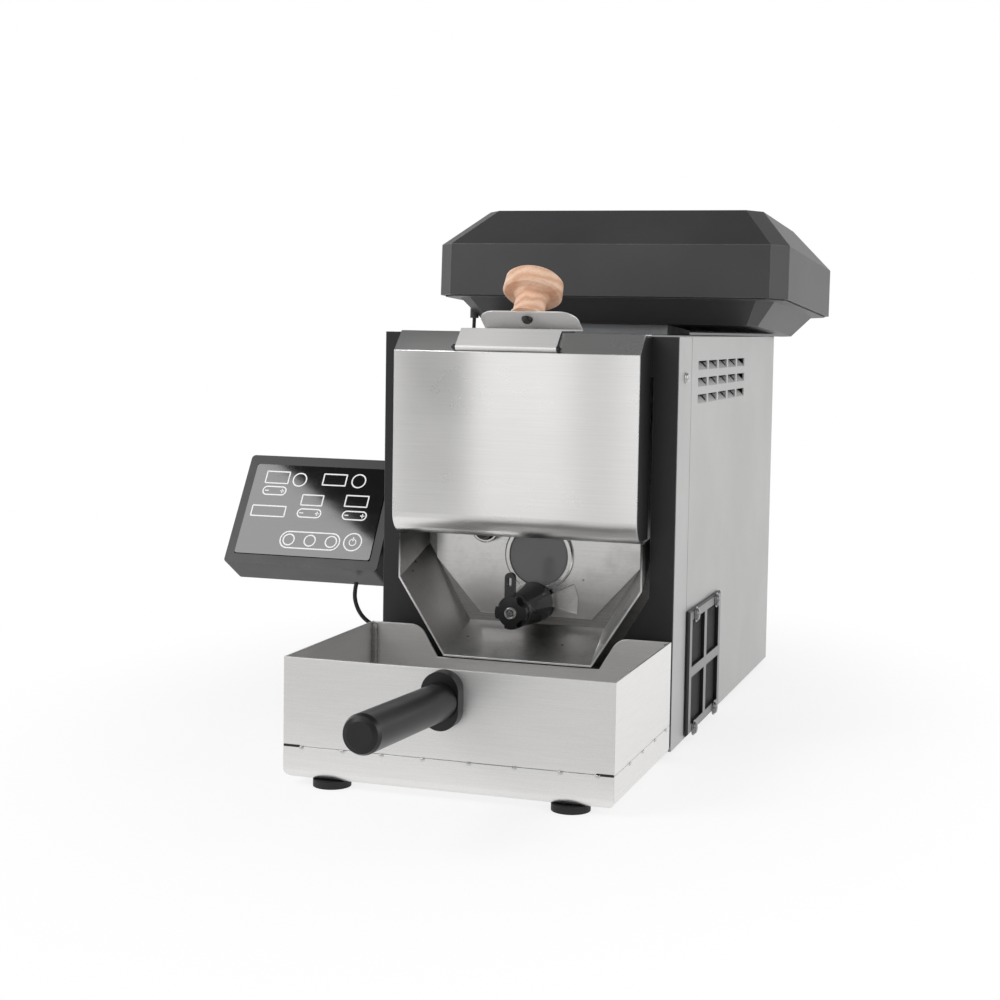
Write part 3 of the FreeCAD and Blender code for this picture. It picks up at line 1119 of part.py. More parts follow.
def make_hood_lower():
    """Lower shell of the hood: shallow pan with sloped walls and a flange that closes the belt from below,
    exhaust opening, rear hinge lugs with their pins, and the strain relief of its cord."""
    item = body("hood_lower_shell", **HOOD)
    rim_w, rim_in = "hood_w / 2 - shell_ledge", "shell_ledge"
    loft(item, "form", "XY", [("-(seam)", ring_at(rim_w, rim_in, "belt_cut")),
                              (FLOOR, ring_at("keel_w / 2", "keel_in", "keel_cut"))])
    loft(item, "inside", "XY",
         [("0", ring_at("%s - hood_t" % rim_w, "%s + hood_t" % rim_in, "belt_cut")),
          ("%s + hood_t" % FLOOR, ring_at("keel_w / 2 - hood_t / 2", "keel_in + hood_t / 2", "keel_cut"))], cut=True)
    block(item, "stack", "XY", "%s - 1" % FLOOR, "hood_t + 2",
          box_points("-(stack_w / 2)", "stack_w / 2", "stack_v - stack_w / 2", "stack_v + stack_w / 2"), cut=True)
    block(item, "flange", "XY", "-(seam + 0.9)", "seam + 1.8",
          ring_at("hood_w / 2 - hood_t - flange_gap", "hood_t + flange_gap", "belt_cut"))
    block(item, "mouth", "XY", "-(seam + 1)", "seam + 3",
          ring_at("%s - hood_t" % rim_w, "%s + hood_t" % rim_in, "belt_cut"), cut=True)
    for x in ("-(hood_w / 4)", "hood_w / 4"):
        block(item, "gap", "XY", "-(seam + 1)", "seam + 3",
              box_points("%s - 9.9" % x, "%s + 9.9" % x, "hood_len - 8.5", "hood_len"), cut=True)
    for x in ("-(hood_w / 4) - 14", "-(hood_w / 4) + 10", "hood_w / 4 - 14", "hood_w / 4 + 10"):
        disc(item, "lug", "YZ", x, "4", HINGE_V, HINGE_W, "hinge_r")
        block(item, "arm", "YZ", x, "4",
              [("%s - hinge_r * 0.9" % HINGE_V, "%s - hinge_r" % HINGE_W), ("%s" % HINGE_V, "%s - hinge_r" % HINGE_W),
               ("%s" % HINGE_V, "%s + hinge_r * 0.6" % HINGE_W), ("hood_len - shell_ledge - 2", "-(seam + 0.6)"),
               ("hood_len - shell_ledge - 4", "-(hinge_r * 2)")])
    for x in ("-(hood_w / 4) - 14", "hood_w / 4 - 14"):
        disc(item, "pin", "YZ", x, "28", HINGE_V, HINGE_W, "hinge_pin_d / 2")
    disc(item, "gland", "XY", "-17", "9", "-121.5", "36", "cord_d / 2 + 2")


def make_hood_upper():
    """Upper shell: belt with a hipped roof, open below, with outlet slots in the rear belt."""
    item = body("hood_upper_shell", **HOOD)
    belt = [("0", ring_at("hood_w / 2", "0", "belt_cut")), ("belt_tall", ring_at("hood_w / 2", "0", "belt_cut"))]
    roof = [("belt_tall", ring_at("hood_w / 2", "0", "belt_cut")), ("roof_up", ring_at("roof_w / 2", "roof_in", "roof_cut"))]
    loft(item, "belt", "XY", belt)
    loft(item, "roof", "XY", roof)
    inner = "(hood_w / 2 - hood_t)"
    loft(item, "belt_inside", "XY",
         [("-1", ring_at(inner, "hood_t", "belt_cut")), ("belt_tall", ring_at(inner, "hood_t", "belt_cut"))], cut=True)
    loft(item, "roof_inside", "XY",
         [("belt_tall - 0.01", ring_at(inner, "hood_t", "belt_cut")),
          ("roof_up - hood_t", ring_at("roof_w / 2 - hood_t / 2", "roof_in + hood_t / 2", "roof_cut"))], cut=True)
    first = block(item, "vent", "XZ", "hood_len - hood_t - 1", "hood_t + 2",
                  box_points("-(vent_pitch * 1.5 + vent_len / 2)", "-(vent_pitch * 1.5 - vent_len / 2)",
                             "belt_tall * 0.7 - vent_tall / 2", "belt_tall * 0.7 + vent_tall / 2"), cut=True)
    grid(item, "vents", [first], "X", "vent_pitch", 4, "-Z", "vent_rise", 2)
    for x in ("-(hood_w / 4)", "hood_w / 4"):
        start, run = "%s - 9.7" % x, "19.4"
        disc(item, "knuckle", "YZ", start, run, HINGE_V, HINGE_W, "hinge_r")
        block(item, "leaf", "YZ", start, run,
              [("%s - 1" % HINGE_V, "%s + hinge_r * 0.7" % HINGE_W), ("%s + hinge_r * 0.9" % HINGE_V, HINGE_W),
               ("hood_len - 0.5", "1"), ("hood_len - hood_t - 0.5", "2.5"), ("%s - 1" % HINGE_V, "1")])
        disc(item, "eye", "YZ", "%s - 0.5" % start, "%s + 1" % run, HINGE_V, HINGE_W, "hinge_pin_d / 2 + run_gap",
             cut=True)


def make_chaff_screen():
    """Bent screen cap over the exhaust fan that keeps chaff out of the hood."""
    item = body("chaff_screen", **HOOD)
    level = "(%s + hood_t + fan_t)" % FLOOR
    block(item, "plate", "XY", level, "screen_t",
          box_points("-(fan_w / 2)", "fan_w / 2", "stack_v - fan_w / 2", "stack_v + fan_w / 2"))
    first = block(item, "slot", "XY", "%s - 1" % level, "screen_t + 2",
                  box_points("-(fan_w / 2 - 6)", "-(fan_w / 2 - 8)", "stack_v - fan_w / 2 + 8",
                             "stack_v + fan_w / 2 - 8"), cut=True)
    grid(item, "slots", [first], "X", "(fan_w - 14) / 10", 11)


# ---------------------------------------------------------------- control panel
size("gland_len", 4, "length of the strain relief under the panel")
size("gland_x", 41.5, "strain relief right of the panel's middle")
size("socket_len", 6, "how far a cord socket stands out of the body")
doc.recompute()

PANEL = dict(x="-(body_w / 2 + panel_gap + panel_w / 2)", y="panel_y", z="panel_z", axis=(-1, 0, 0),
             angle="panel_tilt")


def make_panel():
    """Closed panel case with a recess for its glass, and the bracket to the body's side."""
    item = body("panel_case", **PANEL)
    case = block(item, "case", "XZ", "0", "panel_t", box_points("-(panel_w / 2)", "panel_w / 2", "0", "panel_tall"))
    dress(item, "corners", case, "Fillet", "3", lambda edge: edge_runs(edge, 1))
    block(item, "recess", "XZ", "-1", "pane_t - 0.8 + 1",
          box_points("-(pane_w / 2 + seam)", "pane_w / 2 + seam", "(panel_tall - pane_tall) / 2 - seam",
                     "(panel_tall + pane_tall) / 2 + seam"), cut=True)
    pane = body("panel_glass", **PANEL)
    sheet_glass = block(pane, "pane", "XZ", "-0.8", "pane_t",
                        box_points("-(pane_w / 2)", "pane_w / 2", "(panel_tall - pane_tall) / 2",
                                   "(panel_tall + pane_tall) / 2"))
    dress(pane, "corners", sheet_glass, "Fillet", "2", lambda edge: edge_runs(edge, 1))
    arm = body("panel_bracket", **PANEL)
    block(arm, "foot", "YZ", "panel_w / 2", "panel_gap", box_points("7", "panel_t - 5", "panel_tall * 0.25",
                                                                   "panel_tall * 0.75"))


# ---------------------------------------------------------------- rear and inner electrics
def make_electrics():
    """Control board on posts, mains inlet, switch bezel and rocker."""
    board = body("main_board")
    inner = "(-(%s - case_t))" % HALF
    block(board, "board", "YZ", "%s + 8" % inner, "1.6",
          box_points("rear_y + 12", "body_len - 12", "plug_z + 30", "plug_z + 150"))
    block(board, "coil", "YZ", "%s + 9.6" % inner, "22", box_points("rear_y + 22", "rear_y + 52", "plug_z + 50",
                                                                  "plug_z + 85"))
    post = disc(board, "post", "YZ", inner, "8", "rear_y + 18", "plug_z + 36", "3")
    grid(board, "posts", [post], "Y", "body_len - rear_y - 36", 2, "Z", "108", 2)
    inlet = body("mains_inlet", x="plug_x", y="body_len", z="plug_z")
    block(inlet, "flange", "XZ", "0", "2.4", box_points("-(plug_w / 2 + 3)", "plug_w / 2 + 3", "-(plug_tall / 2 + 3)",
                                                      "plug_tall / 2 + 3"))
    block(inlet, "shell", "XZ", "-20", "20", box_points("-(plug_w / 2 - seam)", "plug_w / 2 - seam",
                                                      "-(plug_tall / 2 - seam)", "plug_tall / 2 - seam"))
    block(inlet, "mouth", "XZ", "-16", "20", box_points("-(plug_w / 2 - 1.7)", "plug_w / 2 - 1.7",
                                                      "-(plug_tall / 2 - 1.7)", "plug_tall / 2 - 1.7"), cut=True)
    pole = block(inlet, "pole", "XZ", "-16.5", "14.5", box_points("-8", "-6", "-2", "2"))
    grid(inlet, "poles", [pole], "X", "7", 3)
    bezel = body("switch_bezel", x="switch_x", y="body_len", z="plug_z")
    block(bezel, "flange", "XZ", "0", "1.6", box_points("-(switch_w / 2 + 2)", "switch_w / 2 + 2",
                                                      "-(switch_tall / 2 + 2)", "switch_tall / 2 + 2"))
    block(bezel, "shell", "XZ", "-14", "14", box_points("-(switch_w / 2 - seam)", "switch_w / 2 - seam",
                                                      "-(switch_tall / 2 - seam)", "switch_tall / 2 - seam"))
    block(bezel, "well", "XZ", "-12", "16", box_points("-(switch_w / 2 - 1.8)", "switch_w / 2 - 1.8",
                                                     "-(switch_tall / 2 - 1.5)", "switch_tall / 2 - 1.5"), cut=True)
    disc(bezel, "axle", "YZ", "-(switch_w / 2 - 1)", "switch_w - 2", "-4", "0", "1")
    rocker = body("power_rocker", x="switch_x", y="body_len", z="plug_z")
    block(rocker, "rocker", "YZ", "-(switch_w / 2 - 2.3)", "switch_w - 4.6",
          [("-9", "-2.5"), ("1.6", "-(switch_tall / 2 - 2.3)"), ("2.9", "0"), ("1.6", "switch_tall / 2 - 2.3"),
           ("-9", "2.5")])
    disc(rocker, "bore", "YZ", "-(switch_w / 2)", "switch_w", "-4", "0", "1 + run_gap", cut=True)


# ---------------------------------------------------------------- cords
def route(points):
    """Cord route, given as size expressions, in the part's frame."""
    return [Vector(number("%s + %s" % (x, SHIFT_X)), number("%s + %s" % (y, SHIFT_Y)),
                   number("%s - table_z" % z))
            for x, y, z in points]


def soft_wire(points):
    """Straight runs joined by tangent arcs, each as large as its two runs allow."""
    edges = []
    last = points[0]
    for before, corner, after in zip(points, points[1:], points[2:]):
        into = (corner - before).normalize()
        out = (after - corner).normalize()
        turn = into.getAngle(out)
        back = 0.45 * min(before.distanceToPoint(corner), corner.distanceToPoint(after))
        radius = back / math.tan(turn / 2)
        print("cord bend radius %.1f mm, turn %.0f degrees" % (radius, math.degrees(turn)))
        enter = corner - into * back
        leave = corner + out * back
        bisector = (out - into).normalize()
        centre = corner + bisector * (radius / math.cos(turn / 2))
        middle = centre - bisector * radius
        edges.append(Part.LineSegment(last, enter).toShape())
        edges.append(Part.Arc(enter, middle, leave).toShape())
        last = leave
    edges.append(Part.LineSegment(last, points[-1]).toShape())
    return Part.Wire(edges)


def make_cord(label, points):
    """Round signal cord along its route."""
    wire = soft_wire(points)
    run = (points[1] - points[0]).normalize()
    section = Part.Wire(Part.Circle(points[0], run, number("cord_d") / 2).toShape())
    tube = wire.makePipeShell([section], True, False)
    expected = math.pi * (number("cord_d") / 2) ** 2 * wire.Length
    print("%s volume %.1f of %.1f mm3" % (label, tube.Volume, expected))
    item = doc.addObject("Part::Feature", label)
    item.Label = label
    item.Shape = tube
    item.Placement = Placement(Vector(0, 0, 0), Rotation())
    NODES.append(item)


def make_cords():
    """Sockets on the body's left side, the hood's strain relief and the two signal cords."""
    sockets = body("cord_sockets")
    out = "(-(%s + socket_len))" % HALF
    for y, z in (("22.6", "76.2"), ("239", "231.5")):
        disc(sockets, "socket", "YZ", out, "socket_len", y, z, "cord_d / 2 + 2")
    cos_p, sin_p = "cos(panel_tilt * 1deg)", "sin(panel_tilt * 1deg)"
    panel_x = "(gland_x - body_w / 2 - panel_gap - panel_w / 2)"
    start = (panel_x, "panel_y + panel_t / 2 * %s - gland_len * %s" % (cos_p, sin_p),
             "panel_z - panel_t / 2 * %s - gland_len * %s" % (sin_p, cos_p))
    make_cord("panel_cord", route([start, ("-133.7", "14.6", "100.4"), ("-132.2", "15.2", "91.2"),
                                   ("-128.6", "18.4", "82.6"), ("-121.5", "22.6", "76.2"), (out, "22.6", "76.2")]))
    start = ("-121.5", "hood_y + 36 * %s - 17 * %s" % (HOOD_COS, HOOD_SIN),
             "hood_z - 36 * %s - 17 * %s" % (HOOD_SIN, HOOD_COS))
    make_cord("hood_cord", route([start, ("-121.5", "227.4", "285.5"), ("-125", "229.5", "269"),
                                  ("-128.5", "232.5", "254"), ("-129.5", "236", "240.5"),
                                  ("-122", "239", "231.5"), (out, "239", "231.5")]))


# ---------------------------------------------------------------- build
make_body_wrap()
make_front_frame()
make_front_panel()
make_rear_panel()
make_bottom_plate()
make_feet()
make_front_cover()
make_cover_side("cover_side_left", "-(cover_w / 2)")
make_cover_side("cover_side_right", "cover_w / 2 - case_t")
make_chute()
make_front_bulkhead()
make_drum_front()
make_sight_glass()
make_sampler_port()
make_outlet_sleeve()
make_spindle()
make_lever()
make_lobed_knob()
make_hopper()
make_bean_lid()
make_lid_pin()
make_wood_knob()
make_lid_screw()
make_drum()
make_shaft()
make_bearing()
make_rear_bulkhead()
make_gearmotor()
make_heaters()
make_heat_shield()
make_exhaust_duct()
make_fan("cooling_fan_frame", "cooling_fan_rotor", x="body_w / 2 - case_t", y="fan_y", z="fan_z",
         axis=(0, -1, 0), angle="90")
make_guard()
make_case_screws()
make_base_pan()
make_tray()
make_screen()
make_handle()
make_hood_seat()
make_hood_lower()
make_hood_upper()
make_chaff_screen()
make_fan("exhaust_fan_frame", "exhaust_fan_rotor",
         y="hood_y + stack_v * %s + (hood_t - keel_down) * %s" % (HOOD_COS, HOOD_SIN),
         z="hood_z - stack_v * %s + (hood_t - keel_down) * %s" % (HOOD_SIN, HOOD_COS),
         axis=(-1, 0, 0), angle="hood_tilt")
make_panel()
make_electrics()
make_cords()
doc.recompute()

# ---------------------------------------------------------------- checks and export
for item in doc.Objects:
    if "Invalid" in item.State or "Error" in item.State:
        raise ValueError("%s did not build: %s" % (item.Label, item.State))
for node in NODES:
    if node.Shape.isNull() or not node.Shape.isValid():
        raise ValueError("%s has no valid shape" % node.Label)
os.makedirs("parts", exist_ok=True)
for node in NODES:
    node.Shape.exportStep("parts/%s.step" % node.Label)
print("%d nodes" % len(NODES))
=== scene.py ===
# %% [markdown]
# # Countertop coffee roaster: the looks
# The machine is a grey sheet-metal case with a stainless front, an open steel cooling tray, a charcoal
# hood and a glass touch panel.  Its construction arrives ready, in metres and in one frame.  This script
# gives every surface its finish and adds the fine pieces that a press, a welder or a printer leaves
# behind.

# %% Load the frame
import bpy
import math
from mathutils import Matrix, Vector


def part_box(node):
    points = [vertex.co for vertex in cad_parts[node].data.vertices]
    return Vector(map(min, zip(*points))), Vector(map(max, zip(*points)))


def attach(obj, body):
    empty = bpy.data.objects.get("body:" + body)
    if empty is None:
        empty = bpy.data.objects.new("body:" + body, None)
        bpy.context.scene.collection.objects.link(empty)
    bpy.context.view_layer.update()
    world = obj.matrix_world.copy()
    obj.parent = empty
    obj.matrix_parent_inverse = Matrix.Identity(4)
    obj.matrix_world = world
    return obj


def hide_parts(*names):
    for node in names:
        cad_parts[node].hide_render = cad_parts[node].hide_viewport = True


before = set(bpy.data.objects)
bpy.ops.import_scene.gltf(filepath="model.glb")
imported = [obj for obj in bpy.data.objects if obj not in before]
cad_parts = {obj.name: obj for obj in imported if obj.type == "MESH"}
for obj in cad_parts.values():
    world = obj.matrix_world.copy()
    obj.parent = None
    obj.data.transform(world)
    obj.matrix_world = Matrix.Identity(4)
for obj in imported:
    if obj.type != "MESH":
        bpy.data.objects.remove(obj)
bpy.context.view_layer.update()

# %% [markdown]
# ## From the drawing to the scene
# The drawing's sizes are millimetres from the middle of the body's front face and from a base line 5.5 mm
# under the table.  The part's origin is the middle of its overall box, so one shift turns a point of the
# drawing into a point of the scene.

# %% Points of the drawing
MM = 0.001
TABLE = 5.5
panel_low, panel_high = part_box("front_panel")
FACE_X = (panel_low.x + panel_high.x) / 2
FACE_Y = panel_low.y


def at(x, y, z):
    """Scene point of a point on the drawing."""
    return Vector((FACE_X + x * MM, FACE_Y + y * MM, (z - TABLE) * MM))


print("front face of the body at", round(FACE_X, 5), round(FACE_Y, 5))

# %% [markdown]
# ## Camera
# A product shot from just under the hood's belt, from the machine's right.  A camera set by its station,
# yaw, pitch and roll is easy to read and easy to check, and a small lens shift frames the machine.

# %% Camera
STATION = (363.9, -1125.45, 295.44)
YAW, PITCH, ROLL = 17.16, -3.8, 1.01
SENSOR_MM = 36
LENS_MM = 62.316
SHIFT_X, SHIFT_Y = -0.05, -0.06
lens_data = bpy.data.cameras.new("camera")
lens_data.sensor_width = SENSOR_MM
lens_data.lens = LENS_MM
lens_data.shift_x = SHIFT_X
lens_data.shift_y = SHIFT_Y
lens_data.clip_start = 0.05
camera = bpy.data.objects.new("camera", lens_data)
bpy.context.collection.objects.link(camera)
turn = (Matrix.Rotation(math.radians(YAW), 4, "Z") @ Matrix.Rotation(math.radians(90 + PITCH), 4, "X")
        @ Matrix.Rotation(math.radians(ROLL), 4, "Z"))
camera.matrix_world = Matrix.Translation(at(*STATION)) @ turn
bpy.context.scene.camera = camera
print("camera at", [round(value, 3) for value in camera.location])

# %% [markdown]
# ## Signal cords
# Two thin round leads, one from the touch panel and one from the hood, each go into a socket on the body's
# left side.  They could be swept tubes, but a NURBS curve of order 3 through a few listed points
# bends as a soft lead does, without kinks, and stays easy to edit.

# %% Routes of the cords
HOOD_TILT = math.radians(2.9)
PANEL_TILT = math.radians(31.4)
SOCKET_X = -111
CORD_MM = 3
PANEL_FOOT = (9, 118)
PANEL_GLAND = (13.5, 4)
HOOD_FOOT = (193.1, 319)
HOOD_GLAND = (36, 17)


def cord_exit(foot, gland, tilt):
    """Y and Z where a cord leaves a tilted housing: gland is how far back and how far down from its foot."""
    back, down = gland
    return (foot[0] + back * math.cos(tilt) - down * math.sin(tilt),
            foot[1] - back * math.sin(tilt) - down * math.cos(tilt))


panel_exit = (-133.5, *cord_exit(PANEL_FOOT, PANEL_GLAND, PANEL_TILT))
panel_route = [panel_exit, (-133.7, 14.6, 100.4), (-132.2, 15.2, 91.2), (-128.6, 18.4, 82.6),
               (-121.5, 22.6, 76.2), (SOCKET_X, 22.6, 76.2)]
hood_exit = (-121.5, *cord_exit(HOOD_FOOT, HOOD_GLAND, HOOD_TILT))
hood_route = [hood_exit, (-121.5, 227.4, 285.5), (-125, 229.5, 269), (-128.5, 232.5, 254),
              (-129.5, 236, 240.5), (-122, 239, 231.5), (SOCKET_X, 239, 231.5)]


def lay_lead(node, route):
    """Round lead along its route from its exit, as thick as the cord."""
    curve = bpy.data.curves.new(node + "_line", "CURVE")
    curve.dimensions = "3D"
    curve.resolution_u = 12
    spline = curve.splines.new("NURBS")
    spline.points.add(len(route) - 1)
    for point, place in zip(spline.points, route):
        point.co = (*at(*place), 1)
        point.radius = CORD_MM * MM / 2
    spline.order_u = 3
    spline.use_endpoint_u = True
    lead = bpy.data.objects.new(node + "_lead", curve)
    bpy.context.collection.objects.link(lead)
    line = bpy.data.meshes.new_from_object(lead)
    curve.bevel_depth = 1
    curve.bevel_resolution = 4
    curve.use_fill_caps = True
    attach(lead, "roaster")
    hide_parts(node)
    return lead


leads = [lay_lead("panel_cord", panel_route), lay_lead("hood_cord", hood_route)]

# %% [markdown]
# ## Colours and nodes
# Colours are picked as sRGB hex, as a screen shows them, and one function turns them to the linear values
# that a shader needs.  A second small function adds a node with its settings, socket values, ramp stops
# and links, so that a material reads as a list of what it is made of.

# %% Colour and node helpers


def colour(text):
    """Linear RGBA of an sRGB hex colour."""
    parts = [int(text[i:i + 2], 16) / 255 for i in (1, 3, 5)]
    return (*[p / 12.92 if p <= 0.04045 else ((p + 0.055) / 1.055) ** 2.4 for p in parts], 1)


def add_node(tree, kind, values=None, links=None, stops=None, **settings):
    """Add a node with its settings, socket values, ramp stops, and links from other nodes' outputs."""
    node = tree.nodes.new(kind)
    for key, value in settings.items():
        setattr(node, key, value)
    for key, value in (values or {}).items():
        node.inputs[key].default_value = colour(value) if isinstance(value, str) else value
    for key, output in (links or {}).items():
        tree.links.new(output, node.inputs[key])
    if stops:
        band = node.color_ramp.elements
        while len(band) < len(stops):
            band.new(0.5)
        for element, (position, tone) in zip(band, stops):
            element.position = position
            element.color = colour(tone) if isinstance(tone, str) else (tone, tone, tone, 1)
    return node


def start_material(name, values):
    """A new material, its node tree, its Principled shader and its object coordinates."""
    made = bpy.data.materials.new(name)
    made.use_nodes = True
    tree = made.node_tree
    shader = tree.nodes["Principled BSDF"]
    for key, value in values.items():
        shader.inputs[key].default_value = colour(value) if isinstance(value, str) else value
    return made, tree, shader, add_node(tree, "ShaderNodeTexCoord").outputs["Object"]


print("half-bright grey on a screen is", round(colour("#808080")[0], 3), "in linear light")

# %% [markdown]
# ## Powder coat
# The case, cheeks and hood are bent steel with a baked powder coat.  The powder melts to a fine orange
# peel about a millimetre across, which breaks up reflections, and its tone drifts a little over a panel.
# A fine noise as bump and gloss gives the peel, and a wide noise gives the drift.  Light grey needs the
# least peel, the black cheeks have a coarse wrinkle texture.

# %% Powder coats
EDGE_MM = 0.7


def powder_coat(name, tone, drift, roughness, peel_mm, peel_depth_mm, edge_highlight_and_wear=None):
    """Baked powder coat: orange peel of a given size on a drifting tone; the last argument is a lighter tone
    painted along edges, partly painted highlight and partly worn paint.
    """
    made, tree, shader, place = start_material(name, {"IOR": 1.5})
    wide = add_node(tree, "ShaderNodeTexNoise", {"Scale": 1 / (90 * MM), "Detail": 3}, {"Vector": place})
    tint = add_node(tree, "ShaderNodeValToRGB", links={"Fac": wide.outputs["Fac"]},
                    stops=[(0.35, drift), (0.65, tone)])
    shown = tint.outputs["Color"]
    soft = add_node(tree, "ShaderNodeBevel", {"Radius": EDGE_MM * MM}, samples=4)
    # painted highlight and wear: a lighter tone is painted where the bevelled normal turns from the face,
    # broken up by noise
    if edge_highlight_and_wear:
        shape = add_node(tree, "ShaderNodeNewGeometry")
        same = add_node(tree, "ShaderNodeVectorMath", operation="DOT_PRODUCT",
                        links={0: soft.outputs["Normal"], 1: shape.outputs["Normal"]})
        chip = add_node(tree, "ShaderNodeTexNoise", {"Scale": 1 / (7 * MM), "Detail": 4}, {"Vector": place})
        edge = add_node(tree, "ShaderNodeMapRange", {"From Min": 0.99, "From Max": 0.94},
                        {"Value": same.outputs["Value"]})
        highlight_and_wear_amount = add_node(tree, "ShaderNodeMath", links={0: edge.outputs["Result"], 1: chip.outputs["Fac"]},
                        operation="MULTIPLY")
        shown = add_node(tree, "ShaderNodeMix", {7: edge_highlight_and_wear}, {0: highlight_and_wear_amount.outputs["Value"], 6: shown},
                         data_type="RGBA").outputs[2]
    tree.links.new(shown, shader.inputs["Base Color"])
    peel = add_node(tree, "ShaderNodeTexNoise", {"Scale": 1 / (peel_mm * MM), "Detail": 3, "Roughness": 0.6},
                    {"Vector": place})
    gloss = add_node(tree, "ShaderNodeMapRange", {"To Min": roughness - 0.05, "To Max": roughness + 0.07},
                     {"Value": peel.outputs["Fac"]})
    tree.links.new(gloss.outputs["Result"], shader.inputs["Roughness"])
    relief = add_node(tree, "ShaderNodeBump", {"Strength": 0.7, "Distance": peel_depth_mm * MM},
                      {"Height": peel.outputs["Fac"], "Normal": soft.outputs["Normal"]})
    tree.links.new(relief.outputs["Normal"], shader.inputs["Normal"])
    return made


GREY_COAT = powder_coat("light_grey_powder_coat", "#BABAB9", "#B2B2B1", 0.40, 1.6, 0.02)
# the last tone of each dark coat is painted along its edges, partly painted highlight and partly worn paint
BLACK_COAT = powder_coat("black_wrinkle_coat", "#1E1E1F", "#161617", 0.44, 1.1, 0.07, "#8C8C8C")
HOOD_COAT = powder_coat("charcoal_matte_coat", "#3D3D3F", "#363638", 0.44, 1.2, 0.03, "#9A9A9A")
print("powder coats ready")

# %% [markdown]
# ## Guard plate
# The fan guard is a thin grey plate that lies on a black gasket.  Seen from the side only the plate's face
# is grey, so the shader looks at which way a face points and paints every face that doesn't look sideways
# black.

# %% Guard plate
GUARD_COAT = powder_coat("grey_coat_over_gasket", "#8A8A8A", "#808080", 0.42, 1.4, 0.03)
guard_tree = GUARD_COAT.node_tree
guard_shader = guard_tree.nodes["Principled BSDF"]
facing = add_node(guard_tree, "ShaderNodeNewGeometry")
split = add_node(guard_tree, "ShaderNodeSeparateXYZ", links={"Vector": facing.outputs["True Normal"]})
outward = add_node(guard_tree, "ShaderNodeMapRange", {"From Min": 0.85, "From Max": 0.95},
                   {"Value": split.outputs["X"]})
paint = add_node(guard_tree, "ShaderNodeMix", {6: "#141415"}, {0: outward.outputs["Result"]},
                 data_type="RGBA")
guard_tree.links.new(guard_shader.inputs["Base Color"].links[0].from_socket, paint.inputs[7])
guard_tree.links.new(paint.outputs[2], guard_shader.inputs["Base Color"])
print("guard plate ready")

# %% [markdown]
# ## Brushed stainless front
# The cover is stainless sheet brushed along its length.  Fine scratches run sideways, so reflections stay
# sharp sideways and smear up and down: that is anisotropy.  A noise drawn out 40 mm along X and half a
# millimetre across gives the scratches.  The sheet rolls back a little at its two upright edges, which a
# bump over the width shows as a soft darker band.  The small lid's finer brushing scatters more light than
# these scratches do, so its shader is only half metallic.

# %% Brushed stainless
SCRATCH_MM = 0.5
SCRATCH_RUN_MM = 40
ROLL_WIDTH_MM = 92
ROLL_DROP_MM = 4.6


def brushed_steel(name, tone, low_tone, roughness, roll_half_mm=None, metallic=1.0):
    """Stainless brushed along X; roll_half_mm is where the sheet starts to roll back at its edges."""
    made, tree, shader, place = start_material(name, {"Metallic": metallic, "Anisotropic": 0.45,
                                                      "Anisotropic Rotation": 0.25})
    across = SCRATCH_RUN_MM / SCRATCH_MM
    drawn = add_node(tree, "ShaderNodeMapping", {"Scale": (1, across, across)}, {"Vector": place})
    scratch = add_node(tree, "ShaderNodeTexNoise", {"Scale": 1 / (SCRATCH_RUN_MM * MM), "Detail": 3,
                                                    "Roughness": 0.6}, {"Vector": drawn.outputs["Vector"]})
    tint = add_node(tree, "ShaderNodeValToRGB", links={"Fac": scratch.outputs["Fac"]},
                    stops=[(0.3, low_tone), (0.7, tone)])
    tree.links.new(tint.outputs["Color"], shader.inputs["Base Color"])
    smear = add_node(tree, "ShaderNodeTexNoise", {"Scale": 1 / (50 * MM), "Detail": 4}, {"Vector": place})
    gloss = add_node(tree, "ShaderNodeMapRange", {"To Min": roughness - 0.05, "To Max": roughness + 0.06},
                     {"Value": smear.outputs["Fac"]})
    tree.links.new(gloss.outputs["Result"], shader.inputs["Roughness"])
    soft = add_node(tree, "ShaderNodeBevel", {"Radius": EDGE_MM * MM}, samples=4)
    grain = add_node(tree, "ShaderNodeBump", {"Strength": 0.15, "Distance": 0.01 * MM},
                     {"Height": scratch.outputs["Fac"], "Normal": soft.outputs["Normal"]})
    tree.links.new(grain.outputs["Normal"], shader.inputs["Normal"])
    along = add_node(tree, "ShaderNodeTangent", direction_type="RADIAL", axis="Z")
    tree.links.new(along.outputs["Tangent"], shader.inputs["Tangent"])
    if roll_half_mm:
        centred = add_node(tree, "ShaderNodeMapping", {"Location": (-FACE_X, 0, 0)}, {"Vector": place})
        sides = add_node(tree, "ShaderNodeSeparateXYZ", links={"Vector": centred.outputs["Vector"]})
        away = add_node(tree, "ShaderNodeMath", links={0: sides.outputs["X"]}, operation="ABSOLUTE")
        drop = add_node(tree, "ShaderNodeMapRange", {"From Min": roll_half_mm * MM,
                                                     "From Max": (roll_half_mm + ROLL_WIDTH_MM) * MM,
                                                     "To Min": 1.0, "To Max": 0.0},
                        {"Value": away.outputs["Value"]}, interpolation_type="SMOOTHERSTEP")
        roll = add_node(tree, "ShaderNodeBump", {"Strength": 1.0, "Distance": ROLL_DROP_MM * MM},
                        {"Height": drop.outputs["Result"], "Normal": soft.outputs["Normal"]})
        tree.links.new(roll.outputs["Normal"], grain.inputs["Normal"])
    return made


FRONT_STEEL = brushed_steel("brushed_stainless_front", "#F0EFEE", "#EAE9E8", 0.28, roll_half_mm=8)
LID_STEEL = brushed_steel("brushed_stainless_lid", "#EDECEB", "#E6E5E4", 0.42, metallic=0.5)
print("brushed steels ready")

# %% [markdown]
# ## Cold-rolled stainless
# Tray, pan and chute are cold-rolled sheet with a smooth, slightly wavy mill finish.  Wide shallow waves
# bend the reflections into soft bands.  Handling leaves fine crossing scuffs, and roasted beans leave
# small dark specks of oil where they slide.  Two crossed drawn-out noises make the scuffs and a cell
# pattern makes the specks.

# %% Cold-rolled stainless
SPECK_CELL_MM = 16


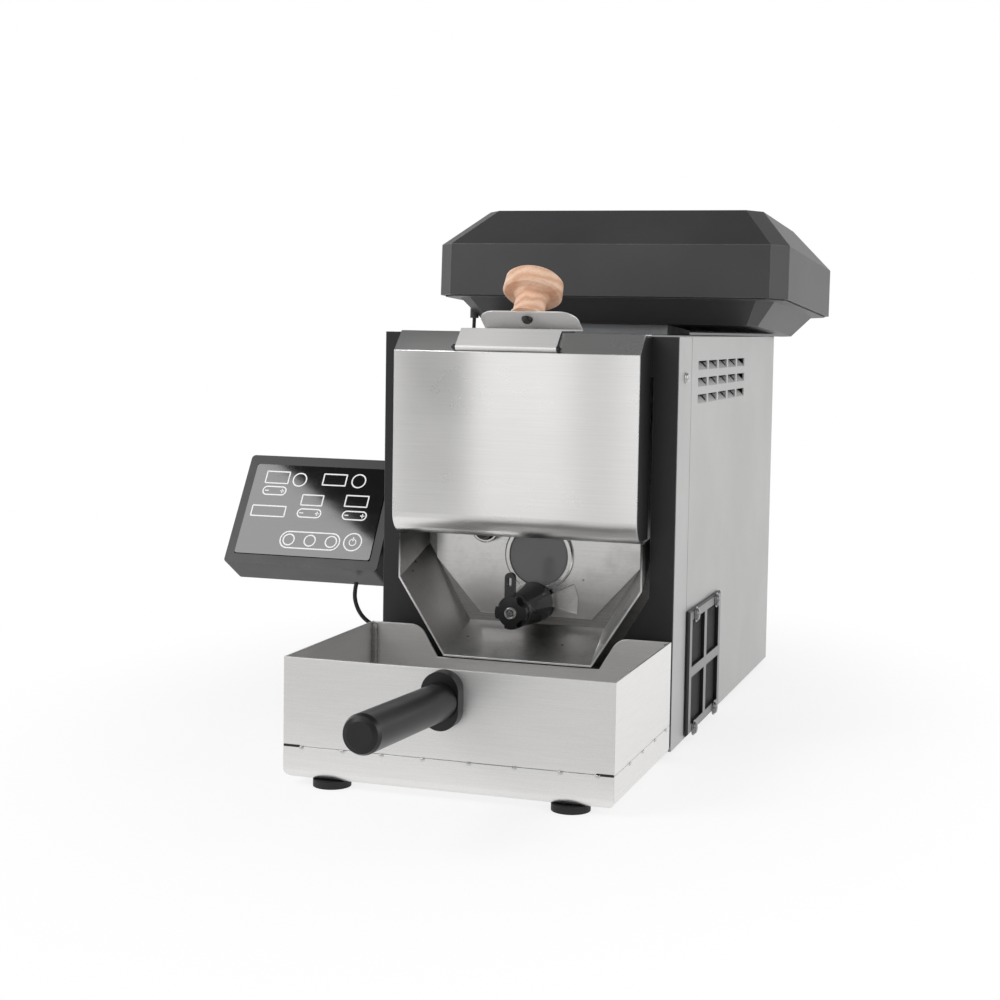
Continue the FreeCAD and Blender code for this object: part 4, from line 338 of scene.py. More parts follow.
def rolled_steel(name, tone, low_tone, roughness, wave_mm, specks, tint=None, shade_band=None):
    """Mill-finish stainless: waves, scuffs, specks from 0 to 1, a stain tint, and painted shade that darkens
    the sheet towards the top between two heights.
    """
    made, tree, shader, place = start_material(name, {"Metallic": 1.0})
    wave = add_node(tree, "ShaderNodeTexNoise", {"Scale": 1 / (70 * MM), "Detail": 1}, {"Vector": place})
    first = add_node(tree, "ShaderNodeMapping", {"Rotation": (0.2, 0.5, 0.9), "Scale": (1, 40, 40)},
                     {"Vector": place})
    scuff = add_node(tree, "ShaderNodeTexNoise", {"Scale": 1 / (30 * MM), "Detail": 2},
                     {"Vector": first.outputs["Vector"]})
    second = add_node(tree, "ShaderNodeMapping", {"Rotation": (-0.4, -0.3, -0.7), "Scale": (30, 1, 30)},
                      {"Vector": place})
    rub = add_node(tree, "ShaderNodeTexNoise", {"Scale": 1 / (25 * MM), "Detail": 2},
                   {"Vector": second.outputs["Vector"]})
    both = add_node(tree, "ShaderNodeMath", links={0: scuff.outputs["Fac"], 1: rub.outputs["Fac"]},
                    operation="MULTIPLY")
    gloss = add_node(tree, "ShaderNodeMapRange",
                     {"From Min": 0.15, "From Max": 0.4,
                      "To Min": roughness - 0.02, "To Max": roughness + 0.04},
                     {"Value": both.outputs["Value"]})
    tree.links.new(gloss.outputs["Result"], shader.inputs["Roughness"])
    base = add_node(tree, "ShaderNodeValToRGB", links={"Fac": both.outputs["Value"]},
                    stops=[(0.18, low_tone), (0.34, tone)])
    shown = base.outputs["Color"]
    if tint:
        patch = add_node(tree, "ShaderNodeTexNoise", {"Scale": 1 / (35 * MM), "Detail": 5, "Roughness": 0.7},
                         {"Vector": place})
        amount = add_node(tree, "ShaderNodeMapRange", {"From Min": 0.5, "From Max": 0.75, "To Max": 0.6},
                          {"Value": patch.outputs["Fac"]})
        shown = add_node(tree, "ShaderNodeMix", {7: tint}, {0: amount.outputs["Result"], 6: shown},
                         data_type="RGBA").outputs[2]
    if specks:
        cell = add_node(tree, "ShaderNodeTexVoronoi", {"Scale": 1 / (SPECK_CELL_MM * MM), "Randomness": 1.0},
                        {"Vector": place})
        spot = add_node(tree, "ShaderNodeMapRange", {"From Min": 0.05, "From Max": 0.075, "To Min": specks,
                                                     "To Max": 0.0}, {"Value": cell.outputs["Distance"]})
        shown = add_node(tree, "ShaderNodeMix", {7: "#3A332C"}, {0: spot.outputs["Result"], 6: shown},
                         data_type="RGBA").outputs[2]
    # painted shade: the sheet is darkened towards the top between two heights, where the chute's upper wings
    # lie in shade
    if shade_band:
        height = add_node(tree, "ShaderNodeSeparateXYZ", links={"Vector": place})
        shade_amount = add_node(tree, "ShaderNodeMapRange", {"From Min": (shade_band[0] - TABLE) * MM,
                                                      "From Max": (shade_band[1] - TABLE) * MM, "To Max": 0.93},
                         {"Value": height.outputs["Z"]}, interpolation_type="SMOOTHSTEP")
        shown = add_node(tree, "ShaderNodeMix", {7: "#2C2B2A"}, {0: shade_amount.outputs["Result"], 6: shown},
                         data_type="RGBA").outputs[2]
    tree.links.new(shown, shader.inputs["Base Color"])
    soft = add_node(tree, "ShaderNodeBevel", {"Radius": EDGE_MM * MM}, samples=4)
    bend = add_node(tree, "ShaderNodeBump", {"Strength": 1.0, "Distance": wave_mm * MM},
                    {"Height": wave.outputs["Fac"], "Normal": soft.outputs["Normal"]})
    tree.links.new(bend.outputs["Normal"], shader.inputs["Normal"])
    return made


TRAY_STEEL = rolled_steel("cold_rolled_stainless_tray", "#ECEBEA", "#E7E6E5", 0.42, 0.5, 0.0)
SCREEN_STEEL = rolled_steel("perforated_stainless", "#E6E5E4", "#DCDBDA", 0.58, 0.3, 0.4)
# the chute's two heights, 116 and 148, bound the painted shade on its upper wings
CHUTE_STEEL = rolled_steel("cold_rolled_stainless_chute", "#EFEEED", "#E8E7E6", 0.40, 0.5, 0.55, "#B4B3B1",
                          (116, 148))
PLATE_STEEL = rolled_steel("polished_stainless_plate", "#D6D5D4", "#CFCECD", 0.22, 0.6, 0.5, "#ABAAA8")
TRIM_STEEL = rolled_steel("polished_stainless_trim", "#CFCECC", "#C4C3C1", 0.14, 0.1, 0.0)
DRUM_STEEL = rolled_steel("heat_tinted_stainless", "#8F877B", "#7C756B", 0.34, 0.4, 0.6, "#6A5640")
ZINC_SHEET = rolled_steel("galvanised_sheet", "#8E9092", "#7F8183", 0.46, 0.2, 0.0, "#A4A7AA")
MOTOR_STEEL = rolled_steel("zinc_plated_steel", "#9C9B9A", "#8E8D8C", 0.42, 0.1, 0.0)
print("rolled steels ready")

# %% [markdown]
# ## Mouldings
# The handle is phenolic plastic, the panel is ABS, the fans are glass-filled nylon, feet and leads are
# rubber.  Their moulds are spark eroded, which leaves an even fine grain.  Each is one tone with its own
# grain size and gloss, and the gloss drifts where hands polish it.  The heater's ceramic clips, the
# circuit board and the black oxide on screws are dull in the same way, so they use the same function with
# their own values.

# %% Mouldings


def moulding(name, tone, low_tone, roughness, grain_mm, grain_depth_mm, ior):
    """Moulded plastic or rubber with a spark-eroded grain."""
    made, tree, shader, place = start_material(name, {"IOR": ior})
    grain = add_node(tree, "ShaderNodeTexNoise",
                     {"Scale": 1 / (grain_mm * MM), "Detail": 4, "Roughness": 0.65}, {"Vector": place})
    wear = add_node(tree, "ShaderNodeTexNoise", {"Scale": 1 / (28 * MM), "Detail": 3}, {"Vector": place})
    tint = add_node(tree, "ShaderNodeValToRGB", links={"Fac": wear.outputs["Fac"]},
                    stops=[(0.35, low_tone), (0.65, tone)])
    tree.links.new(tint.outputs["Color"], shader.inputs["Base Color"])
    gloss = add_node(tree, "ShaderNodeMapRange", {"To Min": roughness - 0.07, "To Max": roughness + 0.07},
                     {"Value": wear.outputs["Fac"]})
    tree.links.new(gloss.outputs["Result"], shader.inputs["Roughness"])
    relief = add_node(tree, "ShaderNodeBump", {"Strength": 0.6, "Distance": grain_depth_mm * MM},
                      {"Height": grain.outputs["Fac"]})
    tree.links.new(relief.outputs["Normal"], shader.inputs["Normal"])
    return made


PHENOLIC = moulding("phenolic_moulding", "#0F0F10", "#0B0B0C", 0.36, 1.0, 0.008, 1.5)
PANEL_ABS = moulding("textured_abs", "#1F1F21", "#19191A", 0.42, 0.9, 0.02, 1.53)
FAN_PLASTIC = moulding("glass_filled_nylon", "#161617", "#101011", 0.45, 1.3, 0.02, 1.53)
SWITCH_PLASTIC = moulding("gloss_polycarbonate", "#101011", "#0B0B0C", 0.17, 3.0, 0.003, 1.58)
RUBBER = moulding("moulded_rubber", "#191919", "#121212", 0.68, 1.1, 0.03, 1.52)
STEATITE = moulding("steatite_ceramic", "#D9D4C8", "#CCC6B8", 0.55, 0.9, 0.02, 1.6)
BOARD = moulding("fibreglass_board", "#1A4325", "#14371E", 0.34, 1.5, 0.02, 1.5)
SCREW_BLACK = moulding("black_oxide_steel", "#232324", "#1A1A1B", 0.28, 1.2, 0.004, 1.5)
print("mouldings ready")

# %% [markdown]
# ## Glass
# The sight glass is clear heat-resistant glass that looks into the dark drum.  The touch panel's glass is
# painted black from behind, so it is a black body with a nearly mirror-flat surface and faint wiping
# smears.  The heater's quartz tubes share the clear glass.

# %% Glasses
CLEAR_GLASS, tree, shader, place = start_material(
    "borosilicate_glass", {"Base Color": "#A8A8A8", "IOR": 1.47, "Transmission Weight": 0.4})
haze = add_node(tree, "ShaderNodeTexNoise", {"Scale": 1 / (12 * MM), "Detail": 3}, {"Vector": place})
gloss = add_node(tree, "ShaderNodeMapRange", {"To Min": 0.02, "To Max": 0.22}, {"Value": haze.outputs["Fac"]})
tree.links.new(gloss.outputs["Result"], shader.inputs["Roughness"])

BLACK_GLASS, tree, shader, place = start_material(
    "back_painted_glass", {"Base Color": "#08080A", "IOR": 1.52})
wiped = add_node(tree, "ShaderNodeMapping", {"Rotation": (0, 0.6, 0), "Scale": (1, 1, 5)}, {"Vector": place})
haze = add_node(tree, "ShaderNodeTexNoise", {"Scale": 1 / (40 * MM), "Detail": 4},
                {"Vector": wiped.outputs["Vector"]})
gloss = add_node(tree, "ShaderNodeMapRange", {"To Min": 0.02, "To Max": 0.09}, {"Value": haze.outputs["Fac"]})
tree.links.new(gloss.outputs["Result"], shader.inputs["Roughness"])

SCREEN_PRINT, tree, shader, place = start_material("white_screen_print", {"IOR": 1.5})
dither = add_node(tree, "ShaderNodeTexNoise", {"Scale": 1 / (0.8 * MM), "Detail": 2}, {"Vector": place})
tint = add_node(tree, "ShaderNodeValToRGB", links={"Fac": dither.outputs["Fac"]},
                stops=[(0.3, "#F2F2F2"), (0.7, "#FFFFFF")])
tree.links.new(tint.outputs["Color"], shader.inputs["Base Color"])
print("glasses ready")

# %% [markdown]
# ## Beech
# The knob is turned from steamed beech, which is a warm reddish tan.  Its growth rings are faint and a few
# millimetres apart, and short dark ray flecks lie along the grain.  Bands bent by noise make the rings,
# and a drawn-out noise cut at a threshold makes the flecks.

# %% Beech
BEECH, tree, shader, place = start_material("steamed_beech", {"IOR": 1.5})
grain = add_node(tree, "ShaderNodeMapping", {"Rotation": (0.45, 0.2, 0.5)}, {"Vector": place})
rings = add_node(tree, "ShaderNodeTexWave", {"Scale": 1 / (22 * MM), "Distortion": 5.0, "Detail": 3.0,
                                             "Detail Scale": 1.2, "Detail Roughness": 0.6},
                 {"Vector": grain.outputs["Vector"]}, wave_type="BANDS", bands_direction="Z")
tint = add_node(tree, "ShaderNodeValToRGB", links={"Fac": rings.outputs["Fac"]},
                stops=[(0.0, "#DBAA8A"), (0.5, "#E8BFA2"), (1.0, "#F0CCB2")])
drawn = add_node(tree, "ShaderNodeMapping", {"Scale": (1, 9, 9)}, {"Vector": grain.outputs["Vector"]})
fleck = add_node(tree, "ShaderNodeTexNoise", {"Scale": 1 / (7 * MM), "Detail": 3},
                 {"Vector": drawn.outputs["Vector"]})
amount = add_node(tree, "ShaderNodeMapRange", {"From Min": 0.56, "From Max": 0.68, "To Max": 0.5},
                  {"Value": fleck.outputs["Fac"]})
wood = add_node(tree, "ShaderNodeMix", {7: "#C98F6E"},
                {0: amount.outputs["Result"], 6: tint.outputs["Color"]}, data_type="RGBA")
tree.links.new(wood.outputs[2], shader.inputs["Base Color"])
gloss = add_node(tree, "ShaderNodeMapRange", {"To Min": 0.34, "To Max": 0.5}, {"Value": fleck.outputs["Fac"]})
tree.links.new(gloss.outputs["Result"], shader.inputs["Roughness"])
relief = add_node(tree, "ShaderNodeBump", {"Strength": 0.3, "Distance": 0.04 * MM},
                  {"Height": fleck.outputs["Fac"]})
tree.links.new(relief.outputs["Normal"], shader.inputs["Normal"])
print("beech ready")

# %% [markdown]
# ## Finishes on the construction
# Each carried-over piece keeps its shape, and its material slots get the finish of the real piece.

# %% Finishes by piece
FINISHES = [
    (GREY_COAT, "body_wrap front_frame rear_panel"),
    (GUARD_COAT, "fan_guard"),
    (BLACK_COAT, "front_panel cover_side_left cover_side_right panel_bracket"),
    (HOOD_COAT, "hood_lower_shell hood_upper_shell"),
    (FRONT_STEEL, "front_cover"),
    (LID_STEEL, "bean_lid"),
    (TRAY_STEEL, "cooling_tray base_pan"),
    (SCREEN_STEEL, "tray_screen chaff_screen guard_mesh"),
    (CHUTE_STEEL, "discharge_chute bean_hopper discharge_spindle"),
    (PLATE_STEEL, "drum_front_plate"),
    (TRIM_STEEL, "sight_glass_ring sampler_port"),
    (DRUM_STEEL, "drum"),
    (ZINC_SHEET, "bottom_plate rear_bulkhead heat_shield exhaust_duct hood_seat"),
    (MOTOR_STEEL, "drum_shaft drum_bearing gearmotor front_bulkhead"),
    (PHENOLIC, "tray_handle_base tray_handle_grip"),
    (PANEL_ABS, "panel_case cord_sockets"),
    (FAN_PLASTIC, "cooling_fan_frame cooling_fan_rotor exhaust_fan_frame exhaust_fan_rotor"),
    (SWITCH_PLASTIC, "mains_inlet switch_bezel power_rocker lobed_knob outlet_sleeve discharge_lever"),
    (RUBBER, "rubber_feet"),
    (STEATITE, "heater_clips"),
    (BOARD, "main_board"),
    (CLEAR_GLASS, "sight_glass heater_rods"),
    (BLACK_GLASS, "panel_glass"),
    (BEECH, "wood_knob"),
    (SCREW_BLACK, "case_screws lid_screw lid_hinge_pin knob_screw"),
]
finished = set()
for material, names in FINISHES:
    for name in names.split():
        for material_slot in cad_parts[name].material_slots:
            material_slot.material = material
        finished.add(name)
for lead in leads:
    lead.data.materials.append(RUBBER)
print("finished", len(finished), "nodes; by pieces:", sorted(set(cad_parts) - finished))

# %% [markdown]
# ## Tools for the fine pieces
# The fine pieces start as primitives at their size and are shaped in edit mode.  An operator acts on
# whatever is selected, so every piece starts with nothing selected, and faces are then picked by where
# they are and which way they look.  A finished piece is moved in its mesh, so its object stays at the
# origin.

# %% Edit-mode helpers


def start_clean():
    """Deselect everything and leave no object active."""
    bpy.ops.object.select_all(action="DESELECT")
    bpy.context.view_layer.objects.active = None


def pick(kind, test):
    """In edit mode, select only the faces, edges or vertices that pass a test."""
    made = bpy.context.active_object
    bpy.ops.mesh.select_mode(type=kind)
    bpy.ops.mesh.select_all(action="DESELECT")
    bpy.ops.object.mode_set(mode="OBJECT")
    parts = {"FACE": made.data.polygons, "EDGE": made.data.edges, "VERT": made.data.vertices}[kind]
    for part in parts:
        part.select = bool(test(part))
    bpy.ops.object.mode_set(mode="EDIT")


def settle(made, name, body, material, place=None, smooth=30):
    """Name a piece, move it in its mesh, give it its finish, and let it ride on a body."""
    made.name = made.data.name = name
    made.data.transform((place or Matrix()) @ made.matrix_basis)
    made.matrix_basis = Matrix()
    start_clean()
    made.select_set(True)
    bpy.context.view_layer.objects.active = made
    bpy.ops.object.mode_set(mode="EDIT")
    bpy.ops.mesh.select_all(action="SELECT")
    bpy.ops.mesh.normals_make_consistent(inside=False)
    bpy.ops.object.mode_set(mode="OBJECT")
    bpy.ops.object.shade_smooth_by_angle(angle=math.radians(smooth))
    made.data.materials.clear()
    made.data.materials.append(material)
    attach(made, body)
    start_clean()
    return made


def twin(model, name, body, material, place):
    """A copy of a model with its own mesh, moved to its place."""
    copy = model.copy()
    copy.data = model.data.copy()
    bpy.context.collection.objects.link(copy)
    return settle(copy, name, body, material, place)


print("edit-mode helpers ready")

# %% [markdown]
# ## Cross-head screws
# Four dark screws with a wide washer foot hold the fan guard, and one bright pan-head screw sits on each
# side of the front frame.  A revolved outline would give the dome, but insetting and lifting the top face
# of a cylinder step by step is how a dome is shaped by hand, and it leaves clean rings.  A tapered bar and
# its copy, turned a quarter, cut the cross.

# %% Screw model
FOOT_SHARE = 0.3
CROSS_WIDTH = 0.9
CROSS_REACH = 1.15
CROSS_TAPER = 0.45


def model_screw(radius, foot_radius, height, steps):
    """Domed cross-head screw that stands on XY, with its foot as a low disc."""
    start_clean()
    foot = height * FOOT_SHARE
    bpy.ops.mesh.primitive_cylinder_add(vertices=40, radius=foot_radius * MM, depth=foot * MM,
                                        location=(0, 0, foot / 2 * MM))
    screw = bpy.context.active_object
    bpy.ops.object.mode_set(mode="EDIT")
    pick("FACE", lambda face: face.normal.z > 0.9)
    bpy.ops.mesh.inset(thickness=(foot_radius - radius) * MM)
    for inset, rise in steps:
        bpy.ops.mesh.extrude_region_move(TRANSFORM_OT_translate={"value": (0, 0, rise * MM)})
        bpy.ops.mesh.inset(thickness=inset * MM)
    bpy.ops.object.mode_set(mode="OBJECT")
    bpy.ops.mesh.primitive_cube_add(size=MM, location=(0, 0, height * MM),
                                    scale=(CROSS_WIDTH, radius * CROSS_REACH, height))
    cross = bpy.context.active_object
    bpy.ops.object.mode_set(mode="EDIT")
    bpy.ops.mesh.duplicate()
    bpy.ops.transform.rotate(value=math.radians(90), orient_axis="Z", center_override=(0, 0, 0))
    pick("FACE", lambda face: face.normal.z < -0.9)
    bpy.ops.transform.resize(value=(CROSS_TAPER, CROSS_TAPER, 1), center_override=(0, 0, 0))
    bpy.ops.object.mode_set(mode="OBJECT")
    start_clean()
    screw.select_set(True)
    bpy.context.view_layer.objects.active = screw
    cut = screw.modifiers.new("cross", "BOOLEAN")
    cut.operation = "DIFFERENCE"
    cut.solver = "EXACT"
    cut.use_self = True
    cut.object = cross
    bpy.ops.object.modifier_apply(modifier="cross")
    bpy.data.objects.remove(cross)
    return screw


DARK_CHROME = rolled_steel("black_nickel_plate", "#8C8C8E", "#7A7A7C", 0.18, 0.1, 0.0)
screw = model_screw(4.3, 5.4, 3.3, [(0.35, 0.9), (0.6, 0.55), (0.9, 0.35), (1.0, 0.15)])
LOOK_RIGHT = Matrix.Rotation(math.radians(90), 4, "Y")
LOOK_LEFT = Matrix.Rotation(math.radians(-90), 4, "Y")
GUARD_FACE_X = 108.2
guard_spots = [(y, z) for z in (14.2, 94.8) for y in (56, 125)]
for number, (y, z) in enumerate(guard_spots, 1):
    seat = Matrix.Translation(at(GUARD_FACE_X, y, z)) @ LOOK_RIGHT @ Matrix.Rotation(0.4 * number, 4, "Z")
    piece = twin(screw, "guard_screw_%d" % number, "roaster", DARK_CHROME, seat)
    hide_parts("case_screws")
bpy.data.objects.remove(screw)
screw = model_screw(3.4, 3.9, 2.7, [(0.3, 0.8), (0.5, 0.5), (0.7, 0.3), (0.8, 0.15)])
FRAME_SCREW_X, FRAME_SCREW_Y, FRAME_SCREW_Z = 105, 21.2, 261.3
for side, x, look in (("right", FRAME_SCREW_X, LOOK_RIGHT), ("left", -FRAME_SCREW_X, LOOK_LEFT)):
    seat = Matrix.Translation(at(x, FRAME_SCREW_Y, FRAME_SCREW_Z)) @ look @ Matrix.Rotation(0.6, 4, "Z")
    piece = twin(screw, "frame_screw_" + side, "roaster", TRIM_STEEL, seat)
    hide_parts("case_screws")
bpy.data.objects.remove(screw)
print("screws:", len(guard_spots), "on the guard and 2 on the frame")

# %% [markdown]
# ## Ring on the outlet knob
# The outlet knob is held by a dark screw in a bright turned ring, which catches the light.  The ring is a
# short cylinder whose top is inset, pushed in and bevelled, and the screw is the cross-head model again at
# a smaller size.

# %% Knob ring and screw
RING_RADIUS_MM = 3.9
RING_HEIGHT_MM = 1.6
RING_WALL_MM = 1.1
RING_SINK_MM = 1.2
KNOB_MIDDLE = (-1, -27.3, 101)
start_clean()
bpy.ops.mesh.primitive_cylinder_add(vertices=48, radius=RING_RADIUS_MM * MM, depth=RING_HEIGHT_MM * MM,
                                    location=(0, 0, RING_HEIGHT_MM / 2 * MM))
ring = bpy.context.active_object
bpy.ops.object.mode_set(mode="EDIT")
pick("FACE", lambda face: face.normal.z > 0.9)
bpy.ops.mesh.inset(thickness=RING_WALL_MM * MM)
bpy.ops.mesh.extrude_region_move(TRANSFORM_OT_translate={"value": (0, 0, -RING_SINK_MM * MM)})
pick("EDGE", lambda edge: all(ring.data.vertices[v].co.z > 0.7 * MM for v in edge.vertices))
bpy.ops.mesh.bevel(offset=0.3 * MM, segments=3)
bpy.ops.object.mode_set(mode="OBJECT")
FACE_FRONT = Matrix.Rotation(math.radians(90), 4, "X")
settle(ring, "knob_ring", "discharge_gate", TRIM_STEEL,
       Matrix.Translation(at(*KNOB_MIDDLE)) @ FACE_FRONT)
screw = model_screw(2.2, 2.5, 1.8, [(0.2, 0.5), (0.4, 0.3), (0.5, 0.15)])
piece = settle(screw, "knob_screw_head", "discharge_gate", DARK_CHROME,
               Matrix.Translation(at(*KNOB_MIDDLE)) @ FACE_FRONT)
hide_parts("knob_screw")
print("knob ring and screw at", KNOB_MIDDLE)

# %% [markdown]
# ## Seam of tray and pan
# The tray stands on the pan on small pressed nubs that show as drops under the seam.  At the two front
# corners the tray's bend leaves a notch that lies in shade.  Spheres flattened to a drop and copied along
# the seam do for the nubs, and a dark strip with rounded ends at each corner is painted shade for the notch.

# %% Seam nubs and painted shade in the corner notches
SEAM_Z = 29.9
TRAY_FRONT_Y = -153.5
TRAY_SIDE_X = 107.2
SHADE_STRIP_X, SHADE_STRIP_Y, SHADE_STRIP_Z = 101.5, -153.45, 30.7
SHADE_STRIP_SIZE = (11, 0.5, 1.5)
start_clean()
bpy.ops.mesh.primitive_uv_sphere_add(segments=14, ring_count=8, radius=MM, scale=(1.7, 1.15, 1.2))
nub = bpy.context.active_object
bpy.ops.object.transform_apply(location=False, rotation=False, scale=True)
bpy.ops.object.mode_set(mode="EDIT")
pick("VERT", lambda vertex: vertex.co.z > 0.7 * MM)
bpy.ops.transform.resize(value=(1.3, 1.2, 0.5), center_override=(0, 0, 0.7 * MM))
bpy.ops.object.mode_set(mode="OBJECT")
front_nubs = [(x, TRAY_FRONT_Y, SEAM_Z) for x in (-95, -67, -41, -14, 16, 45, 74, 97)]
side_nubs = [(side, y, SEAM_Z) for side in (TRAY_SIDE_X, -TRAY_SIDE_X) for y in (-118, -86, -54, -24)]
for number, place in enumerate(front_nubs + side_nubs, 1):
    turned = Matrix.Rotation(math.radians(90 if abs(place[0]) == TRAY_SIDE_X else 0), 4, "Z")
    twin(nub, "seam_nub_%d" % number, "roaster", TRIM_STEEL,
         Matrix.Translation(at(*place)) @ turned)
bpy.data.objects.remove(nub)
# painted shade: a dark strip at each front corner stands in for the shade in the tray's corner notch
for number, x in enumerate((-SHADE_STRIP_X, SHADE_STRIP_X), 1):
    start_clean()
    bpy.ops.mesh.primitive_cube_add(size=MM, location=at(x, SHADE_STRIP_Y, SHADE_STRIP_Z), scale=SHADE_STRIP_SIZE)
    shade_strip = bpy.context.active_object
    bpy.ops.object.transform_apply(location=True, rotation=False, scale=True)
    bpy.ops.object.mode_set(mode="EDIT")
    pick("EDGE", lambda edge: abs((shade_strip.data.vertices[edge.vertices[0]].co
                                   - shade_strip.data.vertices[edge.vertices[1]].co).y) > 0.3 * MM)
    bpy.ops.mesh.bevel(offset=0.5 * MM, segments=3)
    bpy.ops.object.mode_set(mode="OBJECT")
    settle(shade_strip, "corner_shade_strip_%d" % number, "roaster", RUBBER)
print("nubs:", len(front_nubs + side_nubs), "and 2 corner notches")

# %% [markdown]
# ## Weld bead
# Each rear corner of the tray is closed with an upright weld from inside, a row of small overlapping
# pools.  A column cut into rings, every second one swollen, gives the pools.

# %% Weld bead
BEAD_RINGS = 26
BEAD_RADIUS_MM = 1.9
BEAD_X, BEAD_Y = 104.6, -15.6
BEAD_LOW, BEAD_HIGH = 33.2, 85.8
POOL_SWELL = 1.35


def lay_bead(name, x, y, low, high):
    """Upright weld bead on the tray, a column with swollen rings."""
    start_clean()
    height = high - low
    bpy.ops.mesh.primitive_cylinder_add(vertices=12, radius=BEAD_RADIUS_MM * MM, depth=height * MM,
                                        location=at(x, y, (low + high) / 2))
    bead = bpy.context.active_object
    bpy.ops.object.transform_apply(location=True, rotation=False, scale=False)
    bpy.ops.object.mode_set(mode="EDIT")
    vertices = bead.data.vertices
    pick("EDGE", lambda edge: abs((vertices[edge.vertices[0]].co - vertices[edge.vertices[1]].co).z) > 5 * MM)
    bpy.ops.mesh.subdivide(number_cuts=BEAD_RINGS)
    step = height / (BEAD_RINGS + 1)
    for ring in range(1, BEAD_RINGS + 1, 2):
        middle = at(x, y, low + ring * step)
        pick("VERT", lambda vertex: abs(vertex.co.z - middle.z) < 0.2 * step * MM)
        bpy.ops.transform.resize(value=(POOL_SWELL, POOL_SWELL, 1), center_override=middle)
    bpy.ops.object.mode_set(mode="OBJECT")
    bead.modifiers.new("soften", "SUBSURF").levels = 1
    bead.modifiers["soften"].render_levels = 1
    bpy.ops.object.modifier_apply(modifier="soften")
    return settle(bead, name, "cooling_tray", MOTOR_STEEL)


for side, x in (("left", -BEAD_X), ("right", BEAD_X)):
    lay_bead("weld_bead_" + side, x, BEAD_Y, BEAD_LOW, BEAD_HIGH)
print("weld beads:", BEAD_RINGS, "rings each")

# %% [markdown]
# ## Touch panel print
# White screen print on the panel's glass frames the displays and keys.  Each outline is a flat plate with
# rounded corners whose middle is inset and deleted, so it keeps one stroke width.  Lettering is left off,
# and only plus, minus and power signs are printed.

# %% Panel print
GLASS_FOOT = (-175, 12.4, 125.04)
PRINT_MM = 1.0
PRINT_LIFT_MM = 0.14
SIGN_MM = 3.4
SIGN_STROKE_MM = 0.8
DISPLAYS = ((-34.5, 62.4, 19.5, 10.6), (11.8, 62.5, 19.2, 10), (-35, 34.6, 28, 9.4), (-2.1, 45, 17.8, 9.4),
            (33.2, 46, 18.6, 9.8))
STEP_KEYS = ((-34.4, 51.4), (-2, 34.4), (34, 34.4))
POWER_X = 37.7
ROUND_KEYS = ((-16.2, 61.3, 11.6), (31, 62.4, 11.6), (POWER_X, 13.4, 14.6))
PRESETS_X = (-12.8, 4, 20.8)
PRESETS_UP = 12.6
to_glass = Matrix.Translation(at(*GLASS_FOOT)) @ Matrix.Rotation(math.radians(90) - PANEL_TILT, 4, "X")
prints = []


def print_frame(across, up, width, height, corner, stroke=PRINT_MM):
    """Printed outline in the glass's own plane; across and up run from the middle of its lower edge."""
    start_clean()
    bpy.ops.mesh.primitive_plane_add(size=MM, location=(across * MM, up * MM, PRINT_LIFT_MM * MM))
    shape = bpy.context.active_object
    shape.scale = (width, height, 1)
    bpy.ops.object.transform_apply(location=True, rotation=False, scale=True)
    bpy.ops.object.mode_set(mode="EDIT")
    bpy.ops.mesh.bevel(offset=corner * MM, segments=8, affect="VERTICES")
    if stroke:
        bpy.ops.mesh.inset(thickness=stroke * MM)
        bpy.ops.mesh.delete(type="FACE")
    bpy.ops.object.mode_set(mode="OBJECT")
    prints.append(shape)


def print_signs(across, up, reach):
    """A minus on the left and a plus on the right."""
    print_frame(across - reach, up, 3.2, SIGN_STROKE_MM, 0.1, None)
    print_frame(across + reach, up, SIGN_MM, SIGN_STROKE_MM, 0.1, None)
    print_frame(across + reach, up, SIGN_STROKE_MM, SIGN_MM, 0.1, None)


for across, up, width, height in DISPLAYS:
    print_frame(across, up, width, height, 0.3)
for across, up in STEP_KEYS:
    print_frame(across, up, 19.6, 7.6, 3.7)
    print_signs(across, up, 6.3)
for across, up, wide in ROUND_KEYS:
    print_frame(across, up, wide, wide, wide / 2 - 0.05)
print_frame(PRESETS_X[1], PRESETS_UP, 48, 14, 6.9)
for across in PRESETS_X:
    print_frame(across, PRESETS_UP, 9.6, 9.6, 4.75)
# the power sign is a ring, open at its top, with a short upright stroke in the gap
print_frame(POWER_X, 13.2, 5.8, 5.8, 2.85, 0.75)
bpy.ops.object.mode_set(mode="EDIT")
pick("FACE", lambda face: face.center.y > 1.4 * MM and abs(face.center.x) < 1.5 * MM)
bpy.ops.mesh.delete(type="FACE")
bpy.ops.object.mode_set(mode="OBJECT")
print_frame(POWER_X, 15.7, SIGN_STROKE_MM, SIGN_MM, 0.1, None)
start_clean()
for shape in prints:
    shape.select_set(True)
bpy.context.view_layer.objects.active = prints[0]
bpy.ops.object.join()
panel_print = bpy.context.active_object
panel_print.modifiers.new("ink", "SOLIDIFY").thickness = 0.04 * MM
bpy.ops.object.modifier_apply(modifier="ink")
settle(panel_print, "panel_print", "roaster", SCREEN_PRINT, to_glass)
print("print shapes:", len(prints))

# %% [markdown]
# ## Woven guard mesh
# Behind the guard's windows lies a black wire cloth.  A bump could suggest it, but real wires show their
# weave in a close look.  One thin bar is cut into short runs, every second cut is pushed up, and an array
# repeats the bar across the cloth.  A second family of wires is turned a quarter.  A thin dark sheet
# behind both is painted shade: it stands in for the dark inside of the case behind the cloth.

# %% Wire cloth
PITCH_MM = 2.0
WIRE_MM = 0.5
WEAVE_RISE_MM = 0.22
LEVEL_SINK_MM = 0.12
UPRIGHT_SINK_MM = 0.05
MARGIN_MM = 1
FACE_OUT = Matrix(((0, 0, 1, 0), (1, 0, 0, 0), (0, 1, 0, 0), (0, 0, 0, 1)))
mesh_low, mesh_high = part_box("guard_mesh")


